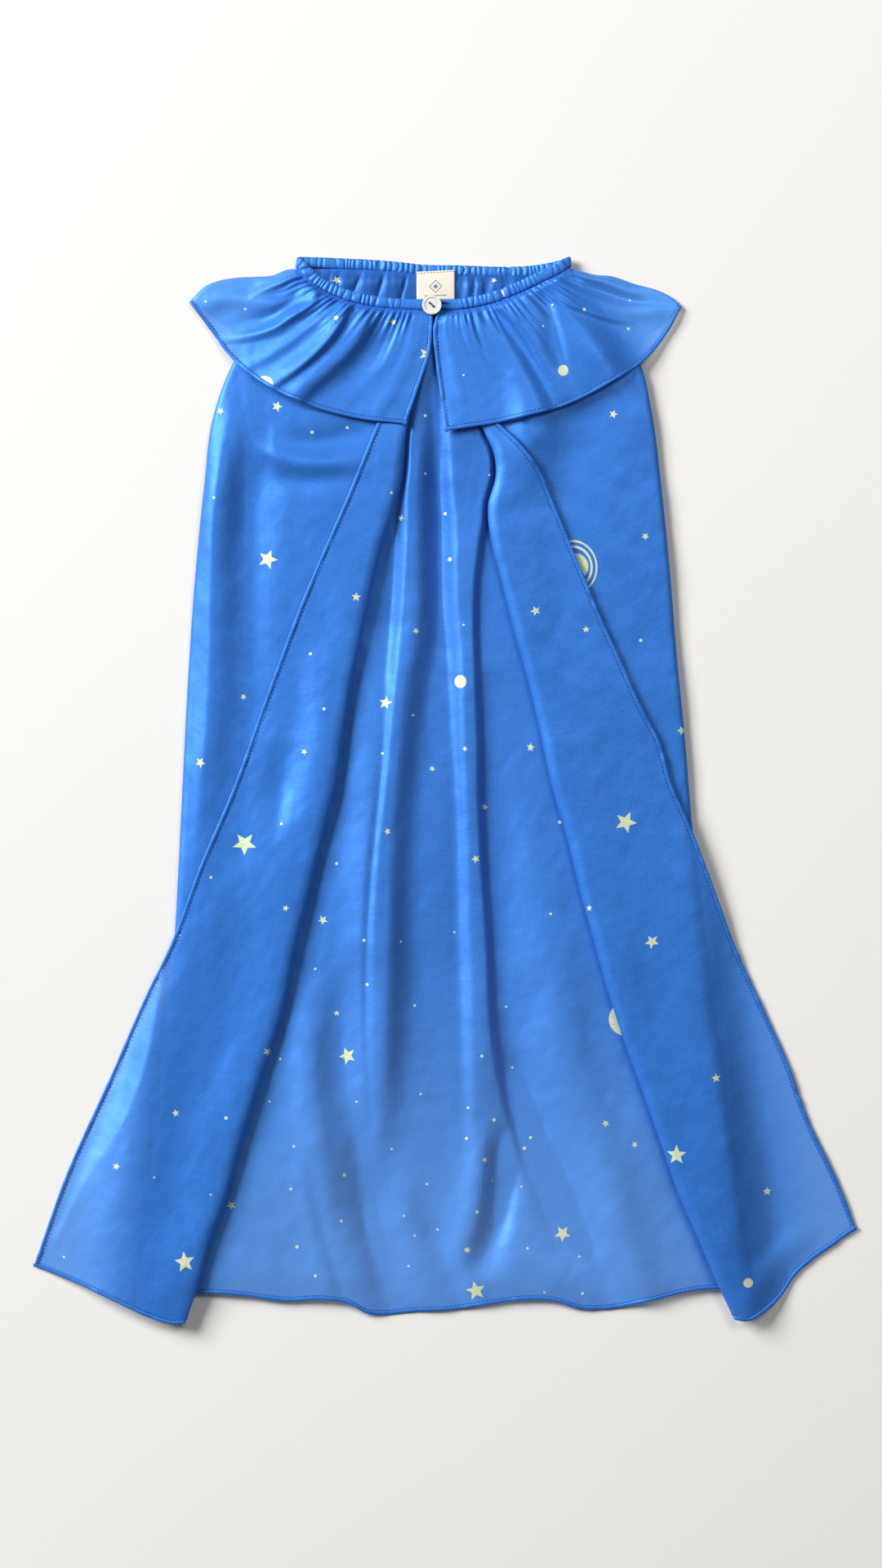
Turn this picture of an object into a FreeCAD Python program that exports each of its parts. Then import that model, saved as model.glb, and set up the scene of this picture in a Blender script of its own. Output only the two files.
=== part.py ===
"""A child's silk play cape, laid flat with its front up and its front edges turned back.

Frame: origin in the middle of the cape on the surface it lies on, +Y towards the neck, +Z up.
Every sheet of cloth is a plain flat slab on its own level. From the bottom up the levels are: the back of
the collar, the back panel, the two front panels, the turned-back fronts, and the front of the collar.
"""
import FreeCAD
import Part
import math
import os

V = FreeCAD.Vector

DIMENSIONS = {
    # overall
    "cape_length": 698.0,
    "hem_spread": 539.0,
    # cloth slabs and their levels
    "cloth": 1.0,
    "layer_gap": 1.4,
    "hem_width": 3.0,
    "roll_gap": 0.4,
    # neck band: a casing with an elastic inside, folded flat at both corners
    "neck_width": 183.0,
    "neck_middle": -6.2,
    "neck_drop": 28.3,
    "knee_out": 26.0,
    "knee_rise": 7.0,
    "casing_width": 7.4,
    "casing_height": 3.4,
    "casing_wall": 0.5,
    "elastic_width": 6.0,
    "elastic_thickness": 0.9,
    # front closure
    "slit_place": -6.6,
    "slit_gap": 0.8,
    "left_placket_length": 23.0,
    "right_placket_length": 16.0,
    "placket_height": 3.0,
    "button_place": -8.8,
    "button_diameter": 12.6,
    "button_thickness": 2.3,
    "button_dish_depth": 0.4,
    "button_rim": 1.6,
    "hole_diameter": 1.6,
    "hole_spacing": 3.4,
    "thread_diameter": 0.9,
    "shank_diameter": 2.0,
    "loop_cord": 1.2,
    "closure_gap": 0.3,
    # label
    "label_width": 25.0,
    "label_length": 19.0,
    "label_thickness": 0.5,
    # ruffle collar: each hem is an arc
    "left_collar_radius": 152.4,
    "left_arc_shift": -26.9,
    "left_arc_rise": 46.0,
    "right_collar_radius": 171.8,
    "right_arc_shift": 14.2,
    "right_arc_rise": 60.7,
    "back_collar_depth": 96.0,
    "wing_out": 17.0,
    "wing_drop": 10.0,
    "left_tip_turn": 207.9,
    "left_roll_turn": 234.8,
    "left_corner_turn": 272.8,
    "right_tip_turn": 328.8,
    "right_roll_turn": 304.2,
    "right_corner_turn": 267.3,
    "collar_roll_drop": 12.0,
    # body: half widths at the chest and at the hem
    "chest_drop": 104.0,
    "chest_left": 151.7,
    "chest_right": 135.0,
    "back_left": 201.0,
    "back_right": 203.0,
    "back_hem_rise": 10.0,
    "bend_length": 30.0,
    # turned-back fronts
    "fold_drop": 110.0,
    "fold_left": 24.7,
    "fold_right": 20.0,
    "turn_left": 170.0,
    "turn_right": 189.0,
    "lap_left": 19.8,
    "lap_right": 14.0,
    "left_corner_rise": 37.0,
    "right_corner_rise": 61.0,
    "left_fold_bow": 11.0,
    "right_fold_bow": -19.0,
    "left_edge_bow": 2.0,
    "right_edge_bow": 9.0,
    "tip_bow": 3.0,
    "right_side_bow": -6.0,
    "roll_top_share": 0.02,
    "roll_bottom_share": 0.92,
    "turn_top_share": 0.07,
}

doc = FreeCAD.newDocument("SuperheroCape")
sheet = doc.addObject("Spreadsheet::Sheet", "Dims")
for row, (alias, value) in enumerate(DIMENSIONS.items(), start=1):
    sheet.set("A%d" % row, alias)
    sheet.set("B%d" % row, str(value))
    sheet.setAlias("B%d" % row, alias)
doc.recompute()
nodes = []


def size(alias):
    """The value of one dimension of the sheet."""
    return float(sheet.get(alias))


def node(thing, name):
    """Registers a finished object as a sub-part under its own name."""
    thing.Label = name
    nodes.append(thing)
    return thing


# ---------------------------------------------------------------- places that several pieces share
TOP = size("cape_length") / 2
BOTTOM = -TOP
PITCH = size("cloth") + size("layer_gap")
BACK_LINE = TOP - size("casing_width") / 2
FRONT_LINE = BACK_LINE - size("neck_drop")
SEAM_LINE = BACK_LINE - size("casing_width") / 2
LEFT_CORNER = size("neck_middle") - size("neck_width") / 2
RIGHT_CORNER = size("neck_middle") + size("neck_width") / 2
LOOP_HEIGHT = 2 * size("casing_height") + 2 * size("layer_gap")
CHEST_LINE = TOP - size("chest_drop")
FOLD_LINE = TOP - size("fold_drop")
LEFT_SLIT = size("slit_place") - size("slit_gap") / 2
RIGHT_SLIT = size("slit_place") + size("slit_gap") / 2
LEFT_RUN_END = LEFT_SLIT - size("left_placket_length")
RIGHT_RUN_END = RIGHT_SLIT + size("right_placket_length")
# Roll lines cross the outer edges at a slant, so the gap between two parts is longer along those edges.
ARC_SLANT = 1.2
TIP_SLANT = 1.5
EDGE_SLANT = 2.5


# ---------------------------------------------------------------- outlines
def bowed(start, end, bow=0.0, begin=0.0, finish=1.0, steps=5):
    """Points of a parabola from start to end, whose middle stands bow to the left of the straight line."""
    along = (end[0] - start[0], end[1] - start[1])
    length = math.hypot(*along)
    left = (-along[1] / length, along[0] / length)
    points = []
    for i in range(steps + 1):
        share = begin + (finish - begin) * i / steps
        out = 4 * bow * share * (1 - share)
        x = start[0] + along[0] * share + left[0] * out
        y = start[1] + along[1] * share + left[1] * out
        points.append((x, y))
    return points


def on_circle(centre, radius, degree):
    """The point of a circle in one direction, in degrees."""
    turn = math.radians(degree)
    return centre[0] + radius * math.cos(turn), centre[1] + radius * math.sin(turn)


def arc(centre, radius, first_degree, last_degree, steps=8):
    """Points of an arc about centre, between two directions in degrees."""
    turn = last_degree - first_degree
    return [on_circle(centre, radius, first_degree + turn * i / steps) for i in range(steps + 1)]


def inset(chain, distance, first_towards, last_towards):
    """A chain of edges, moved sideways to its left by distance, with its corners mitred.

    Its two ends slide towards the given points, so that they stay on the edges that close the outline.
    """
    flat = list(chain[0])
    for edge in chain[1:]:
        flat += edge[1:]
    moved = []
    for i, point in enumerate(flat):
        units = []
        for a, b in zip(flat[max(i - 1, 0):i + 1], flat[max(i, 1):i + 2]):
            step = math.hypot(b[0] - a[0], b[1] - a[1])
            units.append((-(b[1] - a[1]) / step, (b[0] - a[0]) / step))
        normal = (sum(u[0] for u in units) / len(units), sum(u[1] for u in units) / len(units))
        slide = normal
        if i in (0, len(flat) - 1):
            goal = first_towards if i == 0 else last_towards
            slide = (goal[0] - point[0], goal[1] - point[1])
        stretch = distance / (slide[0] * normal[0] + slide[1] * normal[1])
        moved.append((point[0] + slide[0] * stretch, point[1] + slide[1] * stretch))
    result = []
    place = 0
    for edge in chain:
        result.append(moved[place:place + len(edge)])
        place += len(edge) - 1
    return result


def reverse(chain):
    """The same chain of edges, walked the other way."""
    return [list(reversed(edge)) for edge in reversed(chain)]


def draw(sketch, outline):
    """Draws a closed outline: an edge of two points is a line, and a longer one is a smooth curve."""
    for i, edge in enumerate(outline):
        following = outline[(i + 1) % len(outline)]
        points = [V(x, y, 0) for x, y in edge]
        if len(points) == 2:
            sketch.addGeometry(Part.LineSegment(points[0], points[1]), False)
        elif len(points) > 2:
            curve = Part.BSplineCurve()
            curve.interpolate(points)
            sketch.addGeometry(curve, False)
        gap = math.hypot(following[0][0] - edge[-1][0], following[0][1] - edge[-1][1])
        if gap > 1e-6:
            sketch.addGeometry(Part.LineSegment(points[-1], V(following[0][0], following[0][1], 0)), False)


def origin_plane(body, role):
    """One of the planes of a body's own origin."""
    for feature in body.Origin.OriginFeatures:
        if feature.Role == role:
            return feature
    raise ValueError(role)


def new_sketch(body, name, outline, height="0"):
    """A sketch on the body's XY plane, lifted by the height, which is an expression on the sheet."""
    sketch = body.newObject("Sketcher::SketchObject", name)
    sketch.AttachmentSupport = [(origin_plane(body, "XY_Plane"), "")]
    sketch.MapMode = "FlatFace"
    sketch.setExpression("AttachmentOffset.Base.z", height)
    draw(sketch, outline)
    return sketch


def slab(name, outline, height, thickness="Dims.cloth"):
    """A flat piece: its outline padded by its thickness, standing at its height."""
    body = doc.addObject("PartDesign::Body", name + "_body")
    sketch = new_sketch(body, name + "_outline", outline, height)
    pad = body.newObject("PartDesign::Pad", name + "_pad")
    pad.Profile = sketch
    pad.setExpression("Length", thickness)
    return node(body, name)


def level(number):
    """The expression for the height of one of the cloth's levels."""
    return "%d * (Dims.cloth + Dims.layer_gap)" % number


def hemmed(name, chain, rest, height, side=1):
    """A sheet whose chain of edges has a rolled hem: the sheet inside the hem, and the hem as a strip.

    The rest of the outline leads from the chain's end back to its start. The cloth is on the left of the
    chain where side is 1, and on its right where side is -1.
    """
    inner = inset(chain, side * size("hem_width"), rest[-1][-2], rest[0][1])
    closing = [list(edge) for edge in rest]
    closing[0][0] = inner[-1][-1]
    closing[-1][-1] = inner[0][0]
    slab(name, inner + closing, height)
    slab(name + "_hem", chain + reverse(inner), height)


# ---------------------------------------------------------------- neck band
def upright_normal(a, b):
    """The unit normal of the line from a to b that points towards +Y."""
    step = math.hypot(b[0] - a[0], b[1] - a[1])
    normal = (-(b[1] - a[1]) / step, (b[0] - a[0]) / step)
    return normal if normal[1] > 0 else (-normal[0], -normal[1])


def ribbon(points, width):
    """The upper and lower edges of a band of this width along the points, cut square to X at both ends."""
    upper = []
    lower = []
    for i, (x, y) in enumerate(points):
        reach = (0.0, width / 2)
        if 0 < i < len(points) - 1:
            first = upright_normal(points[i - 1], (x, y))
            second = upright_normal((x, y), points[i + 1])
            mitre = (first[0] + second[0], first[1] + second[1])
            stretch = width / 2 / (mitre[0] * first[0] + mitre[1] * first[1])
            reach = (mitre[0] * stretch, mitre[1] * stretch)
        upper.append((x + reach[0], y + reach[1]))
        lower.append((x - reach[0], y - reach[1]))
    return upper, lower


RING = LOOP_HEIGHT / 2
LEFT_RING = LEFT_CORNER + RING
RIGHT_RING = RIGHT_CORNER - RING
LEFT_RUN = [
    (LEFT_RING, BACK_LINE),
    (LEFT_RING + size("knee_out"), FRONT_LINE + size("knee_rise")),
    (LEFT_RUN_END, FRONT_LINE),
]
RIGHT_RUN = [
    (RIGHT_RING, BACK_LINE),
    (RIGHT_RING - size("knee_out"), FRONT_LINE + size("knee_rise")),
    (RIGHT_RUN_END, FRONT_LINE),
]


def lines(points):
    """The points as a chain of straight edges."""
    return [[a, b] for a, b in zip(points, points[1:])]


def half_ring(name, width, thickness, side):
    """The band's turn at one corner: half a ring about an axis along Y."""
    middle = "Dims.casing_height / 2 + Dims.layer_gap"
    outer = doc.addObject("Part::Cylinder", name + "_outer")
    inner = doc.addObject("Part::Cylinder", name + "_inner")
    outer.setExpression("Radius", "%s + %s / 2" % (middle, thickness))
    inner.setExpression("Radius", "%s - %s / 2" % (middle, thickness))
    x = LEFT_RING if side < 0 else RIGHT_RING
    for cylinder in (outer, inner):
        cylinder.setExpression("Height", width)
        cylinder.Angle = 180
        turn = FreeCAD.Rotation(V(0, 0, side), V(side, 0, 0), V(0, 1, 0), "ZXY")
        cylinder.Placement = FreeCAD.Placement(V(x, 0, 0), turn)
        cylinder.setExpression("Placement.Base.y", "%.6f - %s / 2" % (BACK_LINE, width))
        cylinder.setExpression("Placement.Base.z", "Dims.casing_height + Dims.layer_gap")
    ring = doc.addObject("Part::Cut", name)
    ring.Base = outer
    ring.Tool = inner
    return ring


def band_loop(name, width, across, thickness):
    """The whole folded band: its width and thickness as expressions, and its width as a number."""
    pieces = []
    back = doc.addObject("Part::Box", name + "_back_run")
    back.Placement = FreeCAD.Placement(V(LEFT_RING, 0, 0), FreeCAD.Rotation())
    back.Length = RIGHT_RING - LEFT_RING
    back.setExpression("Width", width)
    back.setExpression("Height", thickness)
    back.setExpression("Placement.Base.y", "%.6f - %s / 2" % (BACK_LINE, width))
    back.setExpression("Placement.Base.z", "(Dims.casing_height - %s) / 2" % thickness)
    pieces.append(back)
    for side, run in ((-1, LEFT_RUN), (1, RIGHT_RUN)):
        title = "%s_%s" % (name, "left" if side < 0 else "right")
        upper, lower = ribbon(run, across)
        profile = doc.addObject("Sketcher::SketchObject", title + "_outline")
        outline = upper + list(reversed(lower))
        draw(profile, lines(outline + outline[:1]))
        profile.setExpression(
            "Placement.Base.z",
            "Dims.casing_height + 2 * Dims.layer_gap + (Dims.casing_height - %s) / 2" % thickness,
        )
        front = doc.addObject("Part::Extrusion", title + "_run")
        front.Base = profile
        front.DirMode = "Normal"
        front.Solid = True
        front.setExpression("LengthFwd", thickness)
        pieces.append(front)
        pieces.append(half_ring(title + "_corner", width, thickness, side))
    loop = doc.addObject("Part::MultiFuse", name)
    loop.Shapes = pieces
    return loop


def make_neck_band():
    """The casing with its channel, the elastic in it, and the flat placket ends."""
    outside = band_loop("casing_outside", "Dims.casing_width", size("casing_width"), "Dims.casing_height")
    channel = band_loop(
        "casing_channel",
        "(Dims.casing_width - 2 * Dims.casing_wall)",
        size("casing_width") - 2 * size("casing_wall"),
        "(Dims.casing_height - 2 * Dims.casing_wall)",
    )
    casing = doc.addObject("Part::Cut", "casing")
    casing.Base = outside
    casing.Tool = channel
    node(casing, "neck_casing")
    elastic = band_loop("elastic", "Dims.elastic_width", size("elastic_width"), "Dims.elastic_thickness")
    node(elastic, "neck_elastic")
    half = size("casing_width") / 2
    base = "Dims.casing_height + 2 * Dims.layer_gap"
    for name, low, high in (
        ("left_placket", LEFT_RUN_END, LEFT_SLIT),
        ("right_placket", RIGHT_SLIT, RIGHT_RUN_END),
    ):
        bottom = [(low, FRONT_LINE - half), (high, FRONT_LINE - half)]
        corners = bottom + [(high, FRONT_LINE + half), (low, FRONT_LINE + half)]
        slab(name, lines(corners + corners[:1]), base, "Dims.placket_height")


# ---------------------------------------------------------------- button, loop and label
PLACKET_FACE = "Dims.casing_height + 2 * Dims.layer_gap + Dims.placket_height"
BUTTON_BASE = PLACKET_FACE + " + Dims.loop_cord + 2 * Dims.closure_gap"


def hole_places():
    """The two holes, on the diagonal from upper left to lower right."""
    step = size("hole_spacing") / 2 / math.sqrt(2)
    x = size("button_place")
    return [(x - step, FRONT_LINE + step), (x + step, FRONT_LINE - step)]


def circle_sketch(body, name, places, radius, height):
    """A sketch of equal circles on the body's XY plane at the height."""
    sketch = new_sketch(body, name, [], height)
    for x, y in places:
        sketch.addGeometry(Part.Circle(V(x, y, 0), V(0, 0, 1), radius), False)
    return sketch


def make_button():
    """A round two-hole button with a dished face inside a rim, and its sewing thread."""
    middle = [(size("button_place"), FRONT_LINE)]
    body = doc.addObject("PartDesign::Body", "button_body")
    pad = body.newObject("PartDesign::Pad", "button_pad")
    pad.Profile = circle_sketch(body, "button_outline", middle, size("button_diameter") / 2, BUTTON_BASE)
    pad.setExpression("Length", "Dims.button_thickness")
    doc.recompute()
    whole = body.Shape.Volume
    top = BUTTON_BASE + " + Dims.button_thickness"
    dish = body.newObject("PartDesign::Pocket", "button_dish")
    dish_radius = size("button_diameter") / 2 - size("button_rim")
    dish.Profile = circle_sketch(body, "dish_outline", middle, dish_radius, top)
    dish.setExpression("Length", "Dims.button_dish_depth")
    doc.recompute()
    dished = body.Shape.Volume
    holes = body.newObject("PartDesign::Pocket", "button_holes")
    holes.Profile = circle_sketch(body, "hole_outline", hole_places(), size("hole_diameter") / 2, top)
    holes.setExpression("Length", "Dims.button_thickness")
    doc.recompute()
    if not whole > dished > body.Shape.Volume:
        raise ValueError("a button pocket cut nothing")
    node(body, "button")

    step = size("hole_spacing") / 2
    pieces = []
    for i, (x, y) in enumerate(hole_places()):
        leg = doc.addObject("Part::Cylinder", "thread_leg_%d" % (i + 1))
        leg.setExpression("Radius", "Dims.thread_diameter / 2")
        leg.setExpression("Height", "Dims.button_thickness - Dims.button_dish_depth + Dims.thread_diameter")
        leg.Placement = FreeCAD.Placement(V(x, y, 0), FreeCAD.Rotation())
        leg.setExpression("Placement.Base.z", BUTTON_BASE)
        pieces.append(leg)
    bar = doc.addObject("Part::Box", "thread_bar")
    bar.setExpression("Length", "Dims.hole_spacing")
    bar.setExpression("Width", "Dims.thread_diameter")
    bar.setExpression("Height", "Dims.thread_diameter")
    turn = FreeCAD.Rotation(V(0, 0, 1), -45)
    corner = turn.multVec(V(-step, -size("thread_diameter") / 2, 0))
    bar.Placement = FreeCAD.Placement(V(size("button_place"), FRONT_LINE, 0) + corner, turn)
    bar.setExpression("Placement.Base.z", BUTTON_BASE + " + Dims.button_thickness - Dims.button_dish_depth")
    pieces.append(bar)
    thread = doc.addObject("Part::MultiFuse", "sewing_thread")
    thread.Shapes = pieces
    node(thread, "button_thread")


def make_shank_and_loop():
    """The wound thread stem under the button, and the cord loop that goes round it."""
    placket_top = "Dims.casing_height + 2 * Dims.layer_gap + Dims.placket_height"
    shank = doc.addObject("Part::Cylinder", "shank")
    shank.setExpression("Radius", "Dims.shank_diameter / 2")
    shank.setExpression("Height", "Dims.loop_cord + Dims.closure_gap")
    shank.Placement = FreeCAD.Placement(V(size("button_place"), FRONT_LINE, 0), FreeCAD.Rotation())
    shank.setExpression("Placement.Base.z", placket_top)
    node(shank, "button_shank")

    turn_radius = (size("shank_diameter") + size("loop_cord")) / 2 + size("closure_gap")
    bend = doc.addObject("Part::Torus", "loop_bend")
    bend.setExpression("Radius1", "(Dims.shank_diameter + Dims.loop_cord) / 2 + Dims.closure_gap")
    bend.setExpression("Radius2", "Dims.loop_cord / 2")
    bend.Angle3 = 180
    half_turn = FreeCAD.Rotation(V(0, 0, 1), 90)
    bend.Placement = FreeCAD.Placement(V(size("button_place"), FRONT_LINE, 0), half_turn)
    height = placket_top + " + Dims.loop_cord / 2"
    bend.setExpression("Placement.Base.z", height)
    pieces = [bend]
    for side in (-1, 1):
        leg = doc.addObject("Part::Cylinder", "loop_leg_%s" % ("lower" if side < 0 else "upper"))
        leg.setExpression("Radius", "Dims.loop_cord / 2")
        leg.Height = RIGHT_SLIT + size("right_placket_length") / 2 - size("button_place")
        place = V(size("button_place"), FRONT_LINE + side * turn_radius, 0)
        leg.Placement = FreeCAD.Placement(place, FreeCAD.Rotation(V(0, 1, 0), 90))
        leg.setExpression("Placement.Base.z", height)
        pieces.append(leg)
    loop = doc.addObject("Part::MultiFuse", "loop")
    loop.Shapes = pieces
    node(loop, "button_loop")


def make_label():
    """The woven label, which hangs from the back seam inside the neck."""
    half = size("label_width") / 2
    high = SEAM_LINE - size("layer_gap")
    low = high - size("label_length")
    x = size("neck_middle")
    corners = [(x - half, low), (x + half, low), (x + half, high), (x - half, high)]
    slab("label", lines(corners + corners[:1]), level(2), "Dims.label_thickness")


# ---------------------------------------------------------------- ruffle collar
def collar_tip(word):
    """The centre of one half's hem arc, and the tip of its wing."""
    centre = (size("neck_middle") + size(word + "_arc_shift"), BACK_LINE + size(word + "_arc_rise"))
    return centre, on_circle(centre, size(word + "_collar_radius"), size(word + "_tip_turn"))


def wing_edge(word):
    """The top edge of one wing, from its tip to the end of the neck band's seam."""
    side = -1 if word == "left" else 1
    ring = LEFT_RING if side < 0 else RIGHT_RING
    corner = LEFT_CORNER if side < 0 else RIGHT_CORNER
    shoulder = (corner + side * size("wing_out"), SEAM_LINE + size("casing_width") / 2 - size("wing_drop"))
    return [collar_tip(word)[1], shoulder, (ring, SEAM_LINE)]


def collar_roll(word):
    """The two ends of the straight line that a lapel lifts about: on the hem arc, and on the front edge."""
    radius = size(word + "_collar_radius")
    slit = LEFT_SLIT if word == "left" else RIGHT_SLIT
    on_arc = on_circle(collar_tip(word)[0], radius, size(word + "_roll_turn"))
    return on_arc, (slit, FRONT_LINE - size("casing_width") / 2 - size("collar_roll_drop"))


def make_collar_half(word):
    """One front half: the part that stays on the chest, and the lapel below the roll line."""
    side = -1 if word == "left" else 1
    centre = collar_tip(word)[0]
    radius = size(word + "_collar_radius")
    low_seam = FRONT_LINE - size("casing_width") / 2
    slit, roll_height = collar_roll(word)[1]
    gap = size("roll_gap")
    gap_turn = math.degrees(gap / radius) * ARC_SLANT * side
    seam = band_seam(word)
    stay = arc(centre, radius, size(word + "_tip_turn"), size(word + "_roll_turn") + gap_turn)
    rest = [[stay[-1], (slit, roll_height + gap)], [(slit, roll_height + gap), (slit, low_seam)]]
    rest += lines([(slit, low_seam)] + seam) + lines(list(reversed(wing_edge(word))))
    hemmed(word + "_collar", [stay], rest, level(4), -side)
    lapel = arc(centre, radius, size(word + "_roll_turn") - gap_turn, size(word + "_corner_turn"))
    front = [lapel[-1], (slit, roll_height - gap)]
    hemmed(word + "_lapel", [lapel, front], [[front[-1], lapel[0]]], level(4), -side)


def band_seam(word):
    """The lower edge of the front run of the band, from its placket end to the neck corner."""
    run = LEFT_RUN if word == "left" else RIGHT_RUN
    return list(reversed(ribbon(run, size("casing_width"))[1]))


def make_back_collar():
    """The back of the collar, which lies under the back panel and meets both wings at their tips."""
    left_tip = collar_tip("left")[1]
    right_tip = collar_tip("right")[1]
    sag = (left_tip[1] + right_tip[1]) / 2 - (SEAM_LINE - size("back_collar_depth"))
    hem = bowed(left_tip, right_tip, -sag, steps=8)
    rest = lines(wing_edge("right") + list(reversed(wing_edge("left"))))
    hemmed("back_collar", [hem], rest, level(0))


# ---------------------------------------------------------------- body
def front_places(word):
    """The corners of one front: its side at the chest and hem, its fold, and its turned-back edge."""
    side = -1 if word == "left" else 1
    return {
        "neck": (LEFT_RING if side < 0 else RIGHT_RING, SEAM_LINE),
        "chest": (side * size("chest_" + word), CHEST_LINE),
        "side": (side * size("back_" + word), BOTTOM + size("back_hem_rise")),
        "fold_top": (side * size("fold_" + word), FOLD_LINE),
        "fold_bottom": (side * size("turn_" + word), BOTTOM),
        "edge_top": (side * (size("fold_" + word) + size("lap_" + word)), FOLD_LINE),
        "corner": (side * size("hem_spread") / 2, BOTTOM + size(word + "_corner_rise")),
    }


def side_curve(word):
    """The side of the body, from the chest to the hem."""
    places = front_places(word)
    bow = 0.0 if word == "left" else size("right_side_bow")
    return bowed(places["chest"], places["side"], bow)


def fold_curve(word):
    """The fold where one front edge turns back, from the top down."""
    places = front_places(word)
    return bowed(places["fold_top"], places["fold_bottom"], size(word + "_fold_bow"))


def edge_curve(word, begin=0.0, finish=1.0):
    """The turned-back edge of one front, from the top down."""
    places = front_places(word)
    return bowed(places["edge_top"], places["corner"], size(word + "_edge_bow"), begin, finish)


def tip_curve(word, begin=0.0, finish=1.0):
    """The short bottom edge of one turned-back front, from its outer corner to the fold."""
    places = front_places(word)
    bow = -size("tip_bow") if word == "left" else size("tip_bow")
    return bowed(places["corner"], places["fold_bottom"], bow, begin, finish)


def front_roll(word):
    """The two ends of the straight line that a turned-back front turns about, from the top down."""
    top = edge_curve(word, size("roll_top_share"))[0]
    return top, tip_curve(word, size("roll_bottom_share"))[0]


def make_back_panel():
    """The back: flat on the table, and lifted by one level where it lies over the collar."""
    left = side_curve("left")
    right = side_curve("right")
    hem = [left[-1], right[-1]]
    inner = inset([hem], size("hem_width"), left[-2], right[-2])[0]
    outline = [inner, [inner[-1]] + list(reversed(right[:-1])), [right[0], front_places("right")["neck"]]]
    outline += [[front_places("right")["neck"], front_places("left")["neck"]]]
    outline += [[front_places("left")["neck"], left[0]], left[:-1] + [inner[0]]]
    slab("back_panel_hem", [hem, list(reversed(inner))], level(0))
    cut = doc.addObject("Sketcher::SketchObject", "back_outline")
    draw(cut, outline)
    plan = doc.addObject("Part::Extrusion", "back_plan")
    plan.Base = cut
    plan.DirMode = "Normal"
    plan.Solid = True
    plan.setExpression("LengthFwd", "4 * (Dims.cloth + Dims.layer_gap)")
    bend = SEAM_LINE - size("back_collar_depth") - size("hem_width")
    foot = bend - size("bend_length")
    cloth = size("cloth")
    side = [(TOP, PITCH), (TOP, PITCH + cloth), (bend, PITCH + cloth), (foot, cloth)]
    side += [(BOTTOM, cloth), (BOTTOM, 0.0), (foot, 0.0), (bend, PITCH)]
    profile = doc.addObject("Sketcher::SketchObject", "back_profile")
    draw(profile, lines(side + side[:1]))
    upright = FreeCAD.Rotation(V(0, 1, 0), V(0, 0, 1), V(1, 0, 0), "ZXY")
    profile.Placement = FreeCAD.Placement(V(0, 0, 0), upright)
    slope = doc.addObject("Part::Extrusion", "back_slope")
    slope.Base = profile
    slope.DirMode = "Normal"
    slope.Solid = True
    slope.Symmetric = True
    slope.setExpression("LengthFwd", "Dims.hem_spread")
    panel = doc.addObject("Part::Common", "back")
    panel.Base = plan
    panel.Tool = slope
    node(panel, "back_panel")


def make_front(word):
    """One front panel, and its turned-back edge as a facing that stays and a flap that turns."""
    side = -1 if word == "left" else 1
    places = front_places(word)
    slit = LEFT_SLIT if word == "left" else RIGHT_SLIT
    low_seam = FRONT_LINE - size("casing_width") / 2
    fold = fold_curve(word)
    rest = [list(reversed(fold)), [fold[0], (slit, low_seam)]]
    rest += lines([(slit, low_seam)] + band_seam(word))
    rest += [[places["neck"], places["chest"]]]
    rest += [side_curve(word)]
    hemmed(word + "_front", [[places["side"], places["fold_bottom"]]], rest, level(2), -side)

    gap = size("roll_gap")
    top, bottom = front_roll(word)
    length = math.hypot(bottom[0] - top[0], bottom[1] - top[1])
    along = ((bottom[0] - top[0]) / length, (bottom[1] - top[1]) / length)
    outward = (along[1], -along[0]) if side < 0 else (-along[1], along[0])
    share = size("turn_top_share")
    tip_chord = math.hypot(places["corner"][0] - places["fold_bottom"][0], places["corner"][1] - BOTTOM)
    nudge = TIP_SLANT * gap / tip_chord
    start = edge_curve(word, share)[0]
    reach = (start[0] - top[0]) * along[0] + (start[1] - top[1]) * along[1]
    foot = (top[0] + along[0] * reach + outward[0] * gap, top[1] + along[1] * reach + outward[1] * gap)
    edge = edge_curve(word, share)
    tip = tip_curve(word, 0.0, size("roll_bottom_share") - nudge)
    hemmed(word + "_flap", [edge, tip], [[tip[-1], foot], [foot, edge[0]]], level(3), -side)

    inside = (foot[0] - 2 * gap * (outward[0] + along[0]), foot[1] - 2 * gap * (outward[1] + along[1]))
    edge_length = math.hypot(places["corner"][0] - places["edge_top"][0], places["corner"][1] - FOLD_LINE)
    above = list(reversed(edge_curve(word, 0.0, share - EDGE_SLANT * gap / edge_length)))
    low = list(reversed(tip_curve(word, size("roll_bottom_share") + nudge)))
    inner = [[low[-1], inside], [inside, above[0]], above, [above[-1], fold[0]]]
    slab(word + "_facing", [fold, low] + inner, level(3))


# ---------------------------------------------------------------- making and writing
make_back_collar()
make_back_panel()
for word in ("left", "right"):
    make_front(word)
    make_collar_half(word)
make_neck_band()
make_shank_and_loop()
make_label()
make_button()
doc.recompute()

for thing in doc.Objects:
    if "Invalid" in thing.State or "Error" in thing.State:
        raise ValueError("%s failed: %s" % (thing.Name, thing.State))
for thing in nodes:
    if thing.Shape.isNull() or not thing.Shape.isValid() or thing.Shape.Volume <= 0:
        raise ValueError("%s has no valid solid" % thing.Label)

os.makedirs("parts", exist_ok=True)
for thing in nodes:
    thing.Shape.exportStep("parts/%s.step" % thing.Label)
print("%d sub-parts written" % len(nodes))
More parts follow.
